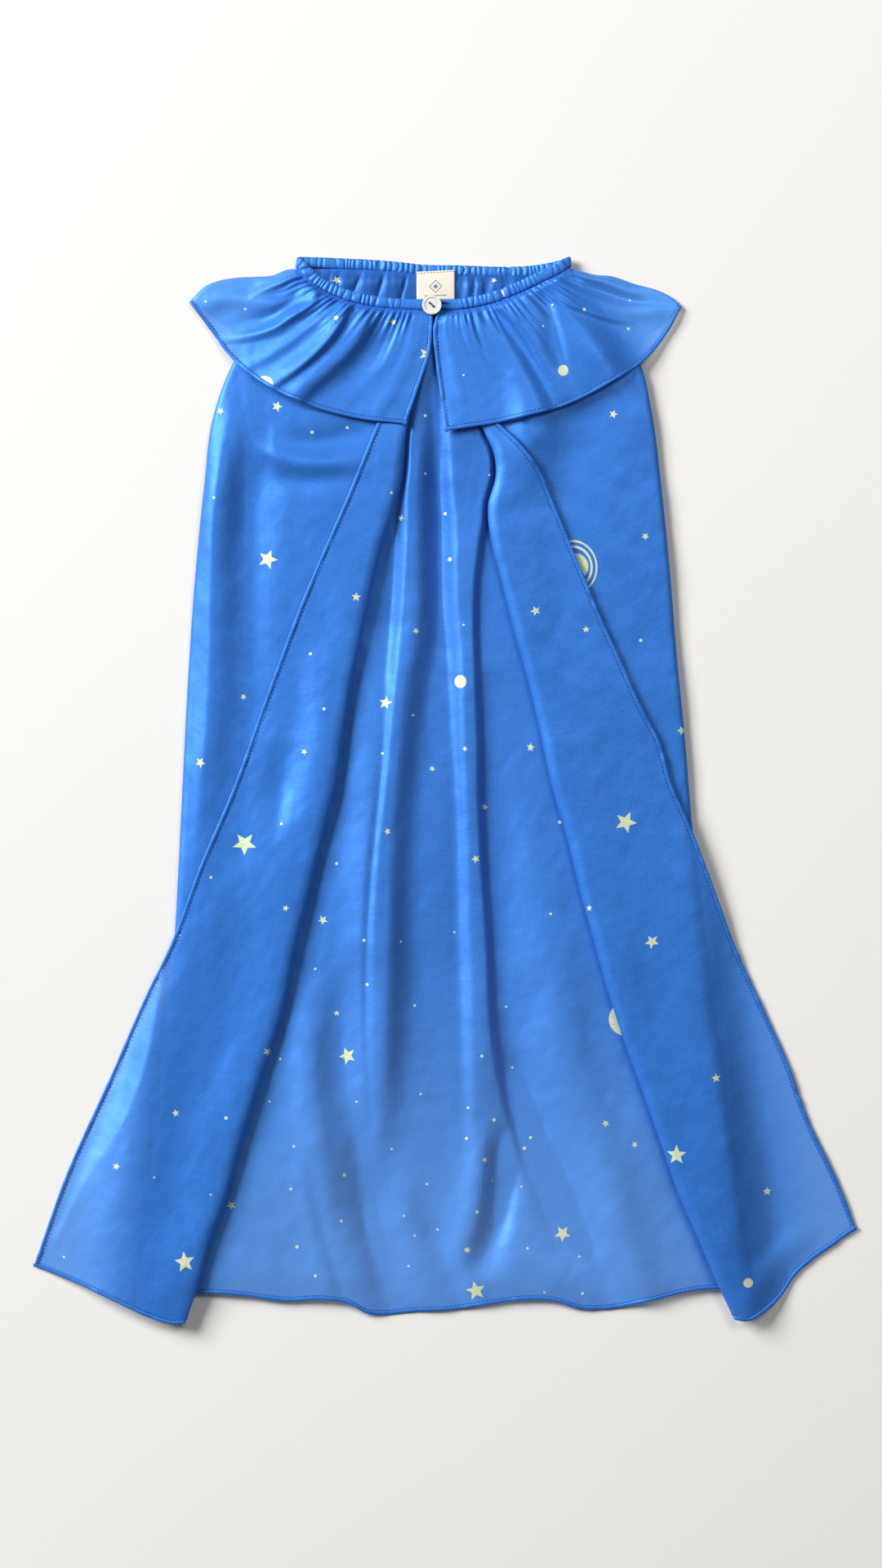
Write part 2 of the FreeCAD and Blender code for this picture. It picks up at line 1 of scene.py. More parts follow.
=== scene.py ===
"""A child's silk play cape laid flat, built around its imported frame.

All lengths below are in millimetres, in the frame's own axes: +X to the right, +Y towards the neck, +Z up.
"""
import math
import bpy
import numpy as np
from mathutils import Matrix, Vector


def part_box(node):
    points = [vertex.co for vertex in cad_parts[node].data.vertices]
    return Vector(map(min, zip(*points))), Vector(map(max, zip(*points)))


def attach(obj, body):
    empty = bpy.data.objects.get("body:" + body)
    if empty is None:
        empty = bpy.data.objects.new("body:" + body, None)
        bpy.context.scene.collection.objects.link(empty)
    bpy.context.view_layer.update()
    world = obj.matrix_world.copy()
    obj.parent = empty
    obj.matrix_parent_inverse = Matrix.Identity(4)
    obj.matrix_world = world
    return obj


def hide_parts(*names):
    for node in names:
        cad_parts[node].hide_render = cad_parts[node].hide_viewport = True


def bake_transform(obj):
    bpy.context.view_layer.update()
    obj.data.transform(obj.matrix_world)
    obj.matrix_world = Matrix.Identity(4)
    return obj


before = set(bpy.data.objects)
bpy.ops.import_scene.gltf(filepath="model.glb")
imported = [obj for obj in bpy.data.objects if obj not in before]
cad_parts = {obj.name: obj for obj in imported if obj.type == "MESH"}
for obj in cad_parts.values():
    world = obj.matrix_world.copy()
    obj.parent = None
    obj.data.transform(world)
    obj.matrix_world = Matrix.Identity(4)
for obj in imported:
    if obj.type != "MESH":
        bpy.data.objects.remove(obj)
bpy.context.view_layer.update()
MM = 0.001
UP = np.array([0, 0, 1.0])


# ------------------------------------------------------------------ curves and fields
def smooth(points, at):
    """A smooth curve through (place, value) points, in cubic spans that share a slope at each point."""
    points = sorted(points)
    knots = np.array([p[0] for p in points], float)
    values = np.array([p[1] for p in points], float)
    slopes = np.gradient(values, knots)
    at = np.asarray(at, float)
    span = np.clip(np.searchsorted(knots, at) - 1, 0, len(knots) - 2)
    width = knots[span + 1] - knots[span]
    share = np.clip((at - knots[span]) / width, 0, 1)
    rise = share * share * (3 - 2 * share)
    curve = values[span] * (1 - rise) + values[span + 1] * rise
    curve += slopes[span] * width * share * (1 - share) ** 2
    curve -= slopes[span + 1] * width * share * share * (1 - share)
    outside = np.where(at < knots[0], at - knots[0], np.where(at > knots[-1], at - knots[-1], 0.0))
    return curve + outside * np.where(at < knots[0], slopes[0], slopes[-1])


def ease(low, high, at):
    """Rises smoothly from 0 at low to 1 at high."""
    share = np.clip((at - low) / (high - low), 0, 1)
    return share * share * (3 - 2 * share)


def lattice(x, y, cell, seed):
    """Soft noise from -1 to 1: random values on a square lattice of this cell, eased between its points."""
    wrap = 64  # the values repeat after this many cells
    shift = 1000.5  # keeps every place positive, and the origin off the lattice's lines
    table = np.random.default_rng(seed).uniform(-1, 1, (wrap, wrap))
    u = np.asarray(x) / cell + shift
    v = np.asarray(y) / cell + shift
    column = np.floor(u).astype(int)
    row = np.floor(v).astype(int)
    a = ease(0, 1, u - column)
    b = ease(0, 1, v - row)

    def along(row):
        return table[row % wrap, column % wrap] * (1 - a) + table[row % wrap, (column + 1) % wrap] * a

    return along(row) * (1 - b) + along(row + 1) * b


def rounded(distance, radius):
    """0 at an edge, rising like a quarter circle to 1 at the radius and beyond."""
    share = 1 - np.clip(distance / radius, 0, 1)
    return np.sqrt(np.maximum(1 - share * share, 0))


# Edges of the laid cape, from the neck down, as (y, x).
LEFT_SIDE = [(341.6, -94), (310, -121), (277, -140.4), (245, -151.7), (197, -158), (143, -163.5), (63, -169),
             (-17, -173), (-92, -177), (-200, -187), (-339, -201)]
RIGHT_SIDE = [(341.6, 81), (310, 108), (280, 127.6), (250, 135), (197, 142), (143, 147.4), (90, 151.7),
              (36, 157), (-28, 162.4), (-150, 178), (-331, 203)]
LEFT_FOLD = [(316, -8), (290, -12), (262, -19), (239, -24.7), (202, -28.6), (154, -42.6), (113, -51.6),
             (72, -60.6), (36, -66.5), (4, -71), (-31, -80), (-72, -90), (-105, -98), (-147, -107),
             (-185, -119), (-232, -133.5), (-268, -143.6), (-297, -154), (-330, -163.5), (-349, -170)]
RIGHT_FOLD = [(316, -5), (290, 4), (262, 14), (238, 23.6), (219, 32), (206, 33), (186, 28), (163, 30),
              (138, 36.4), (105, 44.8), (76, 53), (43, 61), (4, 69.4), (-31, 79.6), (-67, 88.4), (-99, 97.3),
              (-130, 106), (-154, 113.4), (-194, 128), (-228, 140), (-265, 153), (-290, 164), (-327, 180),
              (-346, 189)]
LEFT_EDGE = [(290, -19), (262, -35), (239, -44.5), (197, -61.6), (122, -93.8), (66, -115), (-1, -139.4),
             (-52, -161), (-98, -178), (-135, -195.6), (-194, -222), (-248, -246.6), (-312, -269.6)]
RIGHT_EDGE = [(290, 10), (262, 22), (241.5, 33), (228.6, 46.4), (210, 61), (187, 71), (163, 81), (140, 90.6),
              (117, 100), (84, 115), (55, 128), (32, 140), (4, 148), (-23, 160), (-59, 174), (-102, 190),
              (-146, 210), (-172, 222), (-218, 239), (-258, 258), (-287.6, 269.6)]
# Bottom edges: of the turned-back fronts from fold (0) to outer corner (1), and of the body as (x, y).
LEFT_TIP = [(0, -348.7), (0.08, -349), (0.2, -345.5), (0.42, -336), (0.69, -324), (1, -312)]
RIGHT_TIP = [(0, -345.5), (0.07, -347), (0.22, -341), (0.37, -331), (0.51, -318), (0.67, -307), (0.86, -296),
             (1, -287.6)]
CENTRE_HEM = [(-201, -339), (-163.5, -330), (-131, -331.5), (-104.5, -335), (-78, -334), (-62, -337),
              (-51, -343), (-43, -344), (-19, -342), (8, -340.6), (29.5, -337), (56, -334), (72, -335),
              (88, -340), (104.5, -340.6), (137, -334), (163.5, -328), (182, -327), (203, -331)]
LEFT_FRONT_HEM = [(-201, -339), (-190, -345), (-177, -348), (-170, -348.7)]
RIGHT_FRONT_HEM = [(188, -345.5), (193, -343), (198, -337), (203, -331)]
# Where the two runs of the neck band meet the cloth, as (x, y).
FRONT_SEAM = [(-94, 341.6), (-86, 331), (-66, 321), (-46, 316.5), (-30, 315), (-8, 314), (10, 314.5),
              (28, 318), (47, 325), (66, 334), (81, 341.6)]
BACK_SEAM = [(-94, 341.6), (-30, 341.8), (20, 339.5), (81, 341.6)]

# Pleats with a flat top between two edges: (y, x) of the left edge and how wide it rises, the same of the
# right edge, and the height of the top beside each edge, as (y, left height, right height).
PLEATS = [
    # left of the middle: below the chest it widens into a soft fold
    ([(262, -24), (224, -27), (197, -28.3), (143, -30), (111, -32.5), (58, -37), (-7, -43), (-44, -47)], 4.5,
     [(262, -12), (224, -13.5), (150, -14), (121, -14.5), (90, -18.5), (63, -22), (9, -25), (-44, -28)], 13,
     [(262, 4.4, 5.2), (224, 5.0, 6.6), (150, 5.2, 7.4), (100, 4.4, 6.6), (50, 2.4, 3.6), (-30, 0, 0)]),
    # right of the middle: wide under the collar, then a narrow ribbon
    ([(262, -3), (224, -1.6), (197, 0), (170, 2.6), (143, 2.6), (121, 3.6), (100, 5.4), (63, 7.5),
      (23, 8.6), (-17, 10.2), (-96, 11.8), (-170, 13.9), (-232, 16), (-262, 18)], 6.0,
     [(262, 36), (224, 34), (197, 30), (170, 24.5), (138, 20.4), (111, 19.4), (76, 20.6), (36, 22.2),
      (-17, 23), (-60, 25.5), (-96, 28), (-170, 32.5), (-205, 39), (-232, 46)], 4.0,
     [(262, 4.0, 4.6), (197, 4.4, 5.6), (150, 4.4, 5.4), (100, 4.0, 5.0), (63, 3.6, 4.6), (-17, 3.0, 4.2),
      (-96, 2.6, 3.6), (-170, 2.2, 3.4), (-232, 1.0, 2.0), (-262, 0, 0)]),
]
# Rounded folds: centre line as (y, x), reach to the left and to the right of it, and height as (y, height). A
# negative height is a hollow.
FOLDS = [
    # the rise from the left fold to the left pleat, and its steep right side
    ([(110, -26), (60, -30), (0, -35), (-98, -39), (-160, -41), (-210, -44), (-262, -50)],
     27, 12, [(110, 0), (50, 3.6), (-60, 5.6), (-160, 5.6), (-220, 3.4), (-275, 0)]),
    ([(58, -37.5), (-7, -43.5), (-44, -47.5), (-125, -51.5), (-180, -50.5), (-222, -48)],
     2.4, 2.4, [(70, 0), (20, -0.7), (-125, -0.7), (-225, 0)]),
    # the pocket between the two pleats, with its rounded lower end
    ([(262, -4), (197, -4), (143, -3), (110, -2), (80, 0), (40, 0)], 10, 6,
     [(262, -0.8), (200, -1.4), (110, -1.8), (60, -0.6), (20, 0)]),
    # the crease to the left of the right pleat
    ([(110, 2.4), (63, 5.2), (23, 6.4), (-17, 8), (-96, 9.8), (-170, 11.8), (-232, 14)],
     7, 3.0, [(110, 0), (60, -0.5), (-96, -0.5), (-180, -0.3), (-235, 0)]),
    # the hollow to the right of the right pleat, and the soft rise beyond it
    ([(60, 27), (0, 29), (-96, 34), (-170, 40), (-205, 47), (-232, 60), (-269, 77), (-301, 89), (-336, 104)],
     8, 17, [(80, 0), (20, -1.8), (-96, -2.4), (-190, -2.6), (-230, 0)]),
    ([(-175, 44), (-205, 52), (-232, 64), (-279, 82), (-309, 97), (-336, 110)],
     21, 14, [(-170, 0), (-215, -3.6), (-250, -4.6), (-300, -4.2), (-340, -2.4)]),
    ([(60, 52), (0, 58), (-96, 72), (-170, 84), (-250, 106), (-336, 130)],
     16, 14, [(70, 0), (0, 0.8), (-96, 1.8), (-200, 2.4), (-300, 2.2), (-336, 1.4)]),
    # hollows near the hem
    ([(-100, -60), (-172, -66), (-242, -55), (-291, -48), (-336, -36)],
     12, 22, [(-100, 0), (-150, -2.6), (-240, -4.0), (-300, -3.8), (-340, -2.6)]),
    ([(-130, -84), (-172, -88), (-242, -82), (-291, -76), (-336, -64)],
     14, 9, [(-120, 0), (-160, 1.6), (-240, 2.2), (-300, 1.8), (-340, 0.8)]),
    ([(-222, 38), (-258, 38), (-290, 33), (-312, 26)], 10, 9,
     [(-216, 0), (-245, -3.8), (-285, -3.4), (-322, 0)]),
    ([(-222, 25), (-258, 22), (-290, 16), (-312, 8)], 12, 8,
     [(-216, 0), (-245, 1.8), (-285, 1.8), (-322, 0)]),
    ([(-272, -16), (-291, -7), (-334, 9)], 10, 9, [(-262, 0), (-300, -2.4), (-340, -2.0)]),
    ([(-236, -90), (-285, -80), (-330, -66)], 6, 10, [(-232, 0), (-285, -1.8), (-340, -1.6)]),
    # left front: a rise down its side, with a hollow beside it
    ([(262, -138), (180, -150), (80, -153), (0, -158), (-60, -163)],
     8, 15, [(270, 0), (220, 3.4), (120, 3.2), (20, 2.4), (-80, 0)]),
    ([(250, -126), (180, -128), (80, -129), (0, -132), (-60, -140)],
     18, 14, [(262, 0), (220, -2.2), (120, -2.2), (20, -1.6), (-80, 0)]),
    # left turned-back front: a bright rise beside the fold, a dent, and the long band down to the corner
    ([(90, -78), (50, -80), (0, -86), (-40, -92)], 12, 12, [(100, 0), (60, 1.2), (10, 1.2), (-40, 0)]),
    ([(24, -106), (-4, -108), (-30, -112)], 12, 8, [(34, 0), (0, -1.8), (-34, 0)]),
    # right front beside the collar
    ([(255, 92), (225, 86), (190, 74)], 24, 16, [(265, 0), (230, -2.4), (180, 0)]),
    ([(262, 54), (235, 56), (200, 62)], 12, 24, [(266, 1.5), (240, 3.4), (185, 0)]),
]
# Folds of the turned-back fronts alone, outside which each has a long dark slope that runs to its bottom.
LEFT_FLAP_FOLDS = [
    ([(-40, -140), (-98, -170), (-151, -188), (-232, -204), (-320, -214)],
     22, 27, [(-40, 0), (-98, 2.6), (-151, 4.6), (-232, 4.6), (-320, 2.0), (-350, 1)]),
]
RIGHT_FLAP_FOLDS = [
    ([(-20, 140), (-98, 156), (-178, 171), (-259, 186), (-312, 190)],
     26, 17, [(-20, 0), (-98, 2.4), (-178, 3.4), (-259, 3.4), (-330, 1.5)]),
    ([(-290, 232), (-325, 205)], 9, 9, [(-280, 0), (-300, 1.2), (-330, 1.2)]),
]
# Folds of the left front that hang in a curve from the collar: lines as (x, y), and the lower reach first.
SWAG = [
    ([(-132, 262), (-126, 236), (-112, 219), (-96, 214), (-72, 213)], 6, 9,
     [(-134, 0), (-122, 2.4), (-96, 3.2), (-70, 2.0), (-46, 0)]),
    ([(-100, 226), (-80, 228), (-62, 232)], 8, 8, [(-108, 0), (-90, -2.0), (-66, -2.4), (-44, 0)]),
    ([(-120, 205), (-96, 202), (-72, 204)], 7, 6, [(-126, 0), (-100, -1.6), (-70, -1.2), (-50, 0)]),
    ([(-110, 176), (-98, 168), (-86, 150)], 4, 4, [(-114, 0), (-98, -0.7), (-82, 0)]),
]


def ridges(folds, x, y):
    """Height of folds with lines as (y, x): each a bell across its line, with its own reach either side."""
    height = np.zeros(np.broadcast(x, y).shape)
    for line, left, right, heights in folds:
        lean = (smooth(line, y + 1) - smooth(line, y - 1)) / 2
        across = (x - smooth(line, y)) / np.sqrt(1 + lean * lean)
        reach = np.where(across < 0, left, right)
        marks = [place for place, _ in heights]
        amount = smooth(heights, np.clip(y, min(marks), max(marks)))
        height = height + amount * np.exp(-(across / reach) ** 2)
    return height


def pleat_tops(x, y):
    """Height of the flat-topped pleats: level between their edges, with a rise of its own width at each."""
    height = np.zeros(np.broadcast(x, y).shape)
    for left, left_rise, right, right_rise, tops in PLEATS:
        from_left = x - smooth(left, y)
        from_right = x - smooth(right, y)
        within = np.clip(from_left / np.maximum(from_left - from_right, 1), 0, 1)
        at = np.clip(y, min(t[0] for t in tops), max(t[0] for t in tops))
        level = smooth([(t[0], t[1]) for t in tops], at) * (1 - within)
        level = level + smooth([(t[0], t[2]) for t in tops], at) * within
        rise = ease(-left_rise, left_rise, from_left)
        height = height + level * rise * ease(right_rise, -right_rise * 0.6, from_right)
    between_folds = np.minimum(x - smooth(LEFT_FOLD, y), smooth(RIGHT_FOLD, y) - x)
    return height * ease(-1, 4, between_folds) * (1 - 0.5 * ease(200, 240, y))


# Soft unevenness of the cloth: height, cell, how far the cells lean, how far they are drawn out, and seed.
UNEVEN = [(1.3, 40, 0.1, 0.4, 3), (0.6, 21, 0, 0.5, 4), (0.22, 10, 0.3, 0.8, 5), (0.10, 5.5, -0.5, 0.6, 6)]


def relief(x, y):
    """Height of the folds that every layer of cloth shares, with soft unevenness all over.

    A low plateau gives the hollows room. It falls off at the sides and the hem, which lie close to the table,
    and all of it dies down towards the neck.
    """
    lowest, ground, plateau_height, fold_gain = 0.15, 1.2, 4.6, 1.5
    half = (smooth(RIGHT_SIDE, y) - smooth(LEFT_SIDE, y)) / 2
    centre = (smooth(RIGHT_SIDE, y) + smooth(LEFT_SIDE, y)) / 2
    plateau = np.clip(1 - np.abs((x - centre) / half) ** 5, 0, 1) * ease(-360, -315, y)
    near_hem = 0.5 + 0.5 * ease(-346, -318, y)
    height = ground + plateau_height * plateau + fold_gain * ridges(FOLDS, x, y) * near_hem
    height = height + ridges(SWAG, y, x)
    for rise, cell, lean, long, seed in UNEVEN:
        height = height + rise * lattice(x + lean * y, y * long, cell, seed)
    height = height * (1 - 0.72 * ease(225, 300, y))
    return np.maximum(height, lowest)


# Heights of the layers above the relief, and of the front at its seam above the table.
BACK = 0.5
FRONT = 4.6
FOLD = 6.6
FRONT_AT_SEAM = 7.4
BACK_AT_SEAM = 2.0
COLLAR = 9.2
COLLAR_AT_SEAM = 7.6
WING_AT_SEAM = 4.4
WING = 3.0
BUTTON_SEAT = 10.3  # the collar stays below this under the button


def roll(distance, y):
    """How far a turned-back front stands above its fold: a loose roll beside the fold, then lying down."""
    loose = 2.6 * (1 - ease(215, 250, y)) * ease(-375, -270, y) + 0.9
    share = np.clip(distance / 8, 0, 1)
    rise = 0.75 * (1 - (1 - share) ** 2) + 0.25 * rounded(distance, 3)
    settle = np.exp(-(np.maximum(distance - 8, 0) / 22) ** 2)
    return rise * (0.9 + (loose - 0.9) * settle)


# ------------------------------------------------------------------ meshes
def placed(name, data):
    """A new object at the origin that shows this mesh, lamp or camera."""
    thing = bpy.data.objects.new(name, data)
    bpy.context.scene.collection.objects.link(thing)
    return thing


def grid_object(name, xyz, cloth_uv, closed_across=False, flip=False):
    """A mesh of quads over a grid of points (rows, columns, 3), with the cloth's own measure as its map."""
    rows, columns = xyz.shape[:2]
    index = np.arange(rows * columns).reshape(rows, columns)
    last = columns if closed_across else columns - 1
    here, right = index[:, :last], np.roll(index, -1, axis=1)[:, :last]
    quads = np.stack([here[:-1], right[:-1], right[1:], here[1:]], axis=-1).reshape(-1, 4)
    if flip:
        quads = quads[:, ::-1]
    mesh = bpy.data.meshes.new(name)
    mesh.vertices.add(rows * columns)
    mesh.vertices.foreach_set("co", (xyz.reshape(-1, 3) * MM).astype(np.float32).ravel())
    mesh.loops.add(quads.size)
    mesh.loops.foreach_set("vertex_index", quads.astype(np.int32).ravel())
    mesh.polygons.add(len(quads))
    mesh.polygons.foreach_set("loop_start", (np.arange(len(quads)) * 4).astype(np.int32))
    mesh.polygons.foreach_set("use_smooth", np.ones(len(quads), bool))
    layer = mesh.uv_layers.new(name="cloth")
    layer.data.foreach_set("uv", (cloth_uv.reshape(-1, 2)[quads.ravel()] * MM).astype(np.float32).ravel())
    mesh.update(calc_edges=True)
    mesh.validate()
    return placed(name, mesh)


def measure(xyz):
    """The cloth's own two coordinates over a grid of points: lengths along its rows and down its columns."""
    across = np.linalg.norm(np.diff(xyz, axis=1), axis=-1)
    down = np.linalg.norm(np.diff(xyz, axis=0), axis=-1)
    u = np.concatenate([np.zeros((len(xyz), 1)), np.cumsum(across, axis=1)], axis=1)
    u = u - u.mean(axis=1, keepdims=True)
    v = np.concatenate([np.zeros((1, xyz.shape[1])), np.cumsum(down, axis=0)], axis=0)
    return np.stack([u, -v], axis=-1)


def paint_light_and_shade(thing, painted_amount):
    """Painted light and shade: light from the table through one layer up to 1, shade down to -1 in a well."""
    data = thing.data.attributes.new("painted_light_shade", "FLOAT", "POINT")
    data.data.foreach_set("value", np.asarray(painted_amount, np.float32).ravel())


def unit(vectors):
    """The same vectors, each of length 1."""
    return vectors / np.maximum(np.linalg.norm(vectors, axis=-1, keepdims=True), 1e-9)


def frames_along(path):
    """Unit vectors along a path, to its left, and upwards, at each of its points."""
    along = unit(np.gradient(path, axis=0))
    side = unit(np.cross(UP, along))
    return along, side, np.cross(along, side)


def resample(path, spacing):
    """The same path with its points evenly spaced, and the length along it."""
    steps = np.linalg.norm(np.diff(path, axis=0), axis=1)
    length = np.concatenate([[0], np.cumsum(steps)])
    count = max(int(length[-1] / spacing), 2)
    even = np.linspace(0, length[-1], count + 1)
    return np.stack([np.interp(even, length, path[:, k]) for k in range(3)], axis=1), even


# ------------------------------------------------------------------ the star print
STARS = [  # x, y, size across
    (-116, 151, 13), (-131, -35, 15), (118, -21, 14.5), (151, -238, 13.5), (-170, -308, 13.5),
    (20, -328, 13.5), (-64, -174, 12), (77, -291, 11), (135, -99, 9), (-39, 57, 9), (-110, 251, 7),
    (-147, 248, 5), (-58, 126, 6), (59, 117, 6.5), (92, 105, 5), (131, 166, 5.5), (110, 246, 6),
    (-19, 104, 4.5), (-132, 61, 4.5), (-160, 18, 6.5), (-92, 25, 4.5), (56, 28, 5.5), (13, 27, 3.5),
    (-8.5, 14, 4), (26, -11, 4.5), (-37.5, -27, 4.5), (20, -45, 5.5), (-104, -77, 4.5), (-80, -85, 6.5),
    (94, -77, 4.5), (-71, -146, 4.5), (-116, -171, 6), (-176, -211, 5), (-215, -246, 5), (-140, -272, 6),
    (105, -218, 5), (124, -232, 4.5), (177, -188, 6.5), (211, -263, 6), (26, -242, 4), (3, 151, 4),
    (-29, 178, 4.5), (155, 39, 6), (-34, 306, 4.5), (-71, 308, 4), (-71, 334, 6), (32, 334, 4),
    (135, 260, 4), (-176, -95, 7), (244, -231, 4),
]
DISCS = [(77, 274, 7.5), (10, 71, 8), (198, -322, 6.5), (14.5, -301, 3.6)]
DOTS = [
    (-157, 320), (-131, 315), (120, 302), (64, 303), (70, 317), (91, 314), (121, 321), (12, 271), (-87, 234),
    (-64, 237), (-151, 191), (-35, 194), (-13, 245), (-13, 207), (29, 206), (0, 181), (-88, 89), (-117, 65),
    (-79, 53), (-21, 49), (128, 98), (12, 108), (-107, -22), (-153, -57), (-41, 24), (-71, -48), (-85, -117),
    (-51, -127), (-53, -98), (-29, -99), (-20, -141), (-108, -176), (6, -93), (75, -21), (69, -81),
    (40, -142), (24, -174), (44, -182), (-143, -214), (-190, -253), (-153, -264), (-115, -204), (-99, -233),
    (-101, -261),
    (-97, -299), (-85, -318), (-250, -306), (-58, -204), (-16, -199), (32, -216), (15, -208), (14, -228),
    (31, -256), (50, -260), (52, -235), (56, -228), (-35, -235), (-12, -258), (-27, -279), (-5, -288),
    (-20, -292), (21, -276), (54, -300), (65, -329), (90, -330), (88, -306), (-24, -312), (-68, -282),
    (-66, -252),
]
STAR, DISC, RINGED = 0, 1, 2  # the kinds of motif
KIND_STEP = 8.0  # the print map holds a motif's own coordinates, shifted by this for each further kind


def printed(thing, rest_xy, motifs, seed):
    """Gives each face its nearest motif's coordinates, so the print stays crisp and moves with the cloth.

    Within a motif's own map the centre is at 0 and the outline at 1, turned by a random angle. A face that is
    out of every motif's reach is put far outside all of them.
    """
    reach, outside = 6, 3.5
    mesh = thing.data
    count = len(mesh.polygons)
    loops = np.zeros(count * 4, np.int32)
    mesh.loops.foreach_get("vertex_index", loops)
    corners = rest_xy.reshape(-1, 2)[loops.reshape(count, 4)]
    middle = corners.mean(axis=1)
    rng = np.random.default_rng(seed)
    place = np.array([m[:2] for m in motifs], float)
    radius = np.array([m[2] / 2 for m in motifs], float)
    kind = np.array([m[3] for m in motifs], float)
    turn = rng.uniform(0, 2 * math.pi, len(motifs))
    squeeze = rng.uniform(0.88, 1.1, len(motifs))
    nearest = np.zeros(count, int)
    best = np.full(count, 1e9)
    for i in range(len(motifs)):
        distance = np.hypot(middle[:, 0] - place[i, 0], middle[:, 1] - place[i, 1]) - radius[i]
        closer = distance < best
        nearest[closer] = i
        best[closer] = distance[closer]
    local = (corners - place[nearest][:, None, :]) / radius[nearest][:, None, None]
    cos = np.cos(turn[nearest])[:, None]
    sin = np.sin(turn[nearest])[:, None]
    u = local[..., 0] * cos - local[..., 1] * sin
    v = (local[..., 0] * sin + local[..., 1] * cos) * squeeze[nearest][:, None]
    far = best > reach
    u[far] = outside
    v[far] = outside
    u = np.clip(u, -outside, outside) + kind[nearest][:, None] * KIND_STEP
    v = np.clip(v, -outside, outside)
    layer = mesh.uv_layers.new(name="print")
    layer.data.foreach_set("uv", np.stack([u, v], axis=-1).astype(np.float32).ravel())


# ------------------------------------------------------------------ the cape's cloth
ROWS = np.linspace(0, 1, 231)
SIDE_ROLL = 4.5  # how far in from a side the cloth takes to turn over


def panel_columns(count, edge=0.03, close=7):
    """Column places from 0 to 1: even in between, closer at both ends, where the cloth turns over."""
    low = np.linspace(0, edge, close, endpoint=False)
    return np.concatenate([low, np.linspace(edge, 1 - edge, count), 1 - low[::-1]])


FRONT_COLUMNS = panel_columns(62)


def panel(left, right, top, bottom, columns, rows=ROWS):
    """Points of a panel: a row runs from the left line to the right one, a column from its top to its bottom.

    Each column's end is found by stepping between the height of the end line and the column's place there.
    """
    share = columns[None, :]

    def end_of(edge):
        y = np.full(columns.shape, np.mean([p[1] for p in edge]))
        for _ in range(60):
            x = smooth(left, y) * (1 - columns) + smooth(right, y) * columns
            y = 0.6 * y + 0.4 * smooth(edge, x)
        return y

    y_top = end_of(top)[None, :]
    y_bottom = end_of(bottom)[None, :]
    y = y_top + (y_bottom - y_top) * rows[:, None]
    return smooth(left, y) * (1 - share) + smooth(right, y) * share, y


def pleats(across, down, pitch, reach, height, seed):
    """Gathers below a seam: a wave along the seam with a wandering pitch, dying away down the cloth."""
    wander = 0.8 * lattice(across, 0 * across, pitch * 2.3, seed)
    wave = np.sin(2 * math.pi * (across / pitch + wander))
    strength = height * (0.6 + 0.4 * lattice(across, down * 0.2, pitch * 1.7, seed + 1))
    return strength * wave * np.exp(-down / reach)


def gathers(across, down):
    """The back's gathers inside the neck: rounded lobes with narrow valleys between, flatter by the label.

    Each lobe is the root of a folded sine along the seam, with a finer one on it. Both die away downwards.
    """
    lobe, ripple, label_middle = 12.0, 4.3, -6
    wander = 0.9 * lattice(across, 0 * across, 19, 31)
    wave = np.abs(np.sin(math.pi * (across / lobe + wander + 0.02 * down)))
    fine = np.abs(np.sin(math.pi * (across / ripple + 2.1 * wander)))
    under_label = ease(22, 15, np.abs(across - label_middle))
    lobes = (3.6 * np.sqrt(wave + 0.02) - 1.6) * np.exp(-down / 42) + 0.9 * fine * np.exp(-down / 9)
    return lobes * (1 - 0.8 * under_label)


def layer_heights(x, y):
    """Heights of the back and of the fronts at a place: both follow the same folds, and meet at the sides."""
    folds = relief(x, y)
    lifted = ease(205, 245, y)
    back = folds + BACK + 1.6 * lifted + pleat_tops(x, y)
    front = folds + FRONT + 0.6 * lifted
    inside = np.minimum(x - smooth(LEFT_SIDE, y), smooth(RIGHT_SIDE, y) - x)
    turned = rounded(np.maximum(inside, 0), SIDE_ROLL)
    middle = (back + front) / 2
    return middle + (back - middle) * turned, middle + (front - middle) * turned


def front_sheet(x, y, fold, down):
    """Height of a front: it rises to the fold on its inner side, and to the neck band at its top."""
    front = layer_heights(x, y)[1]
    from_fold = np.abs(x - smooth(fold, y))
    top = relief(x, y) + FOLD
    rising = (1 - rounded(from_fold, 6)) * ease(300, 255, y)
    front = front + (top - front) * rising
    front = front + pleats(x, down, 6.0, 22, 0.9, 21)
    return front + (FRONT_AT_SEAM - front) * ease(13, 1, down)


def cape_body():
    """The cape from its left fold over the left front, across the back, and over the right front to its fold.

    One sheet: each row goes once round the cape, and each column from the neck seam to the hem.
    """
    left_x, left_y = panel(LEFT_FOLD, LEFT_SIDE, FRONT_SEAM, LEFT_FRONT_HEM, FRONT_COLUMNS)
    right_x, right_y = panel(RIGHT_SIDE, RIGHT_FOLD, FRONT_SEAM, RIGHT_FRONT_HEM, FRONT_COLUMNS)
    back_x, back_y = panel(LEFT_SIDE, RIGHT_SIDE, BACK_SEAM, CENTRE_HEM, panel_columns(262, 0.012, 6))
    left_z = front_sheet(left_x, left_y, LEFT_FOLD, left_y[:1] - left_y)
    right_z = front_sheet(right_x, right_y, RIGHT_FOLD, right_y[:1] - right_y)
    down = back_y[:1] - back_y
    back_z = layer_heights(back_x, back_y)[0] + gathers(back_x, down) * ease(-96, -80, back_x)
    at_seam = ease(9, 0, down)
    at_seam = at_seam * ease(0, 12, back_x - BACK_SEAM[0][0]) * ease(0, 12, BACK_SEAM[-1][0] - back_x)
    back_z = back_z + (BACK_AT_SEAM - back_z) * at_seam
    left, right = np.stack([left_x, left_y, left_z], axis=-1), np.stack([right_x, right_y, right_z], axis=-1)
    back = np.stack([back_x, back_y, back_z], axis=-1)
    return np.concatenate([left, back[:, 1:-1], right], axis=1)


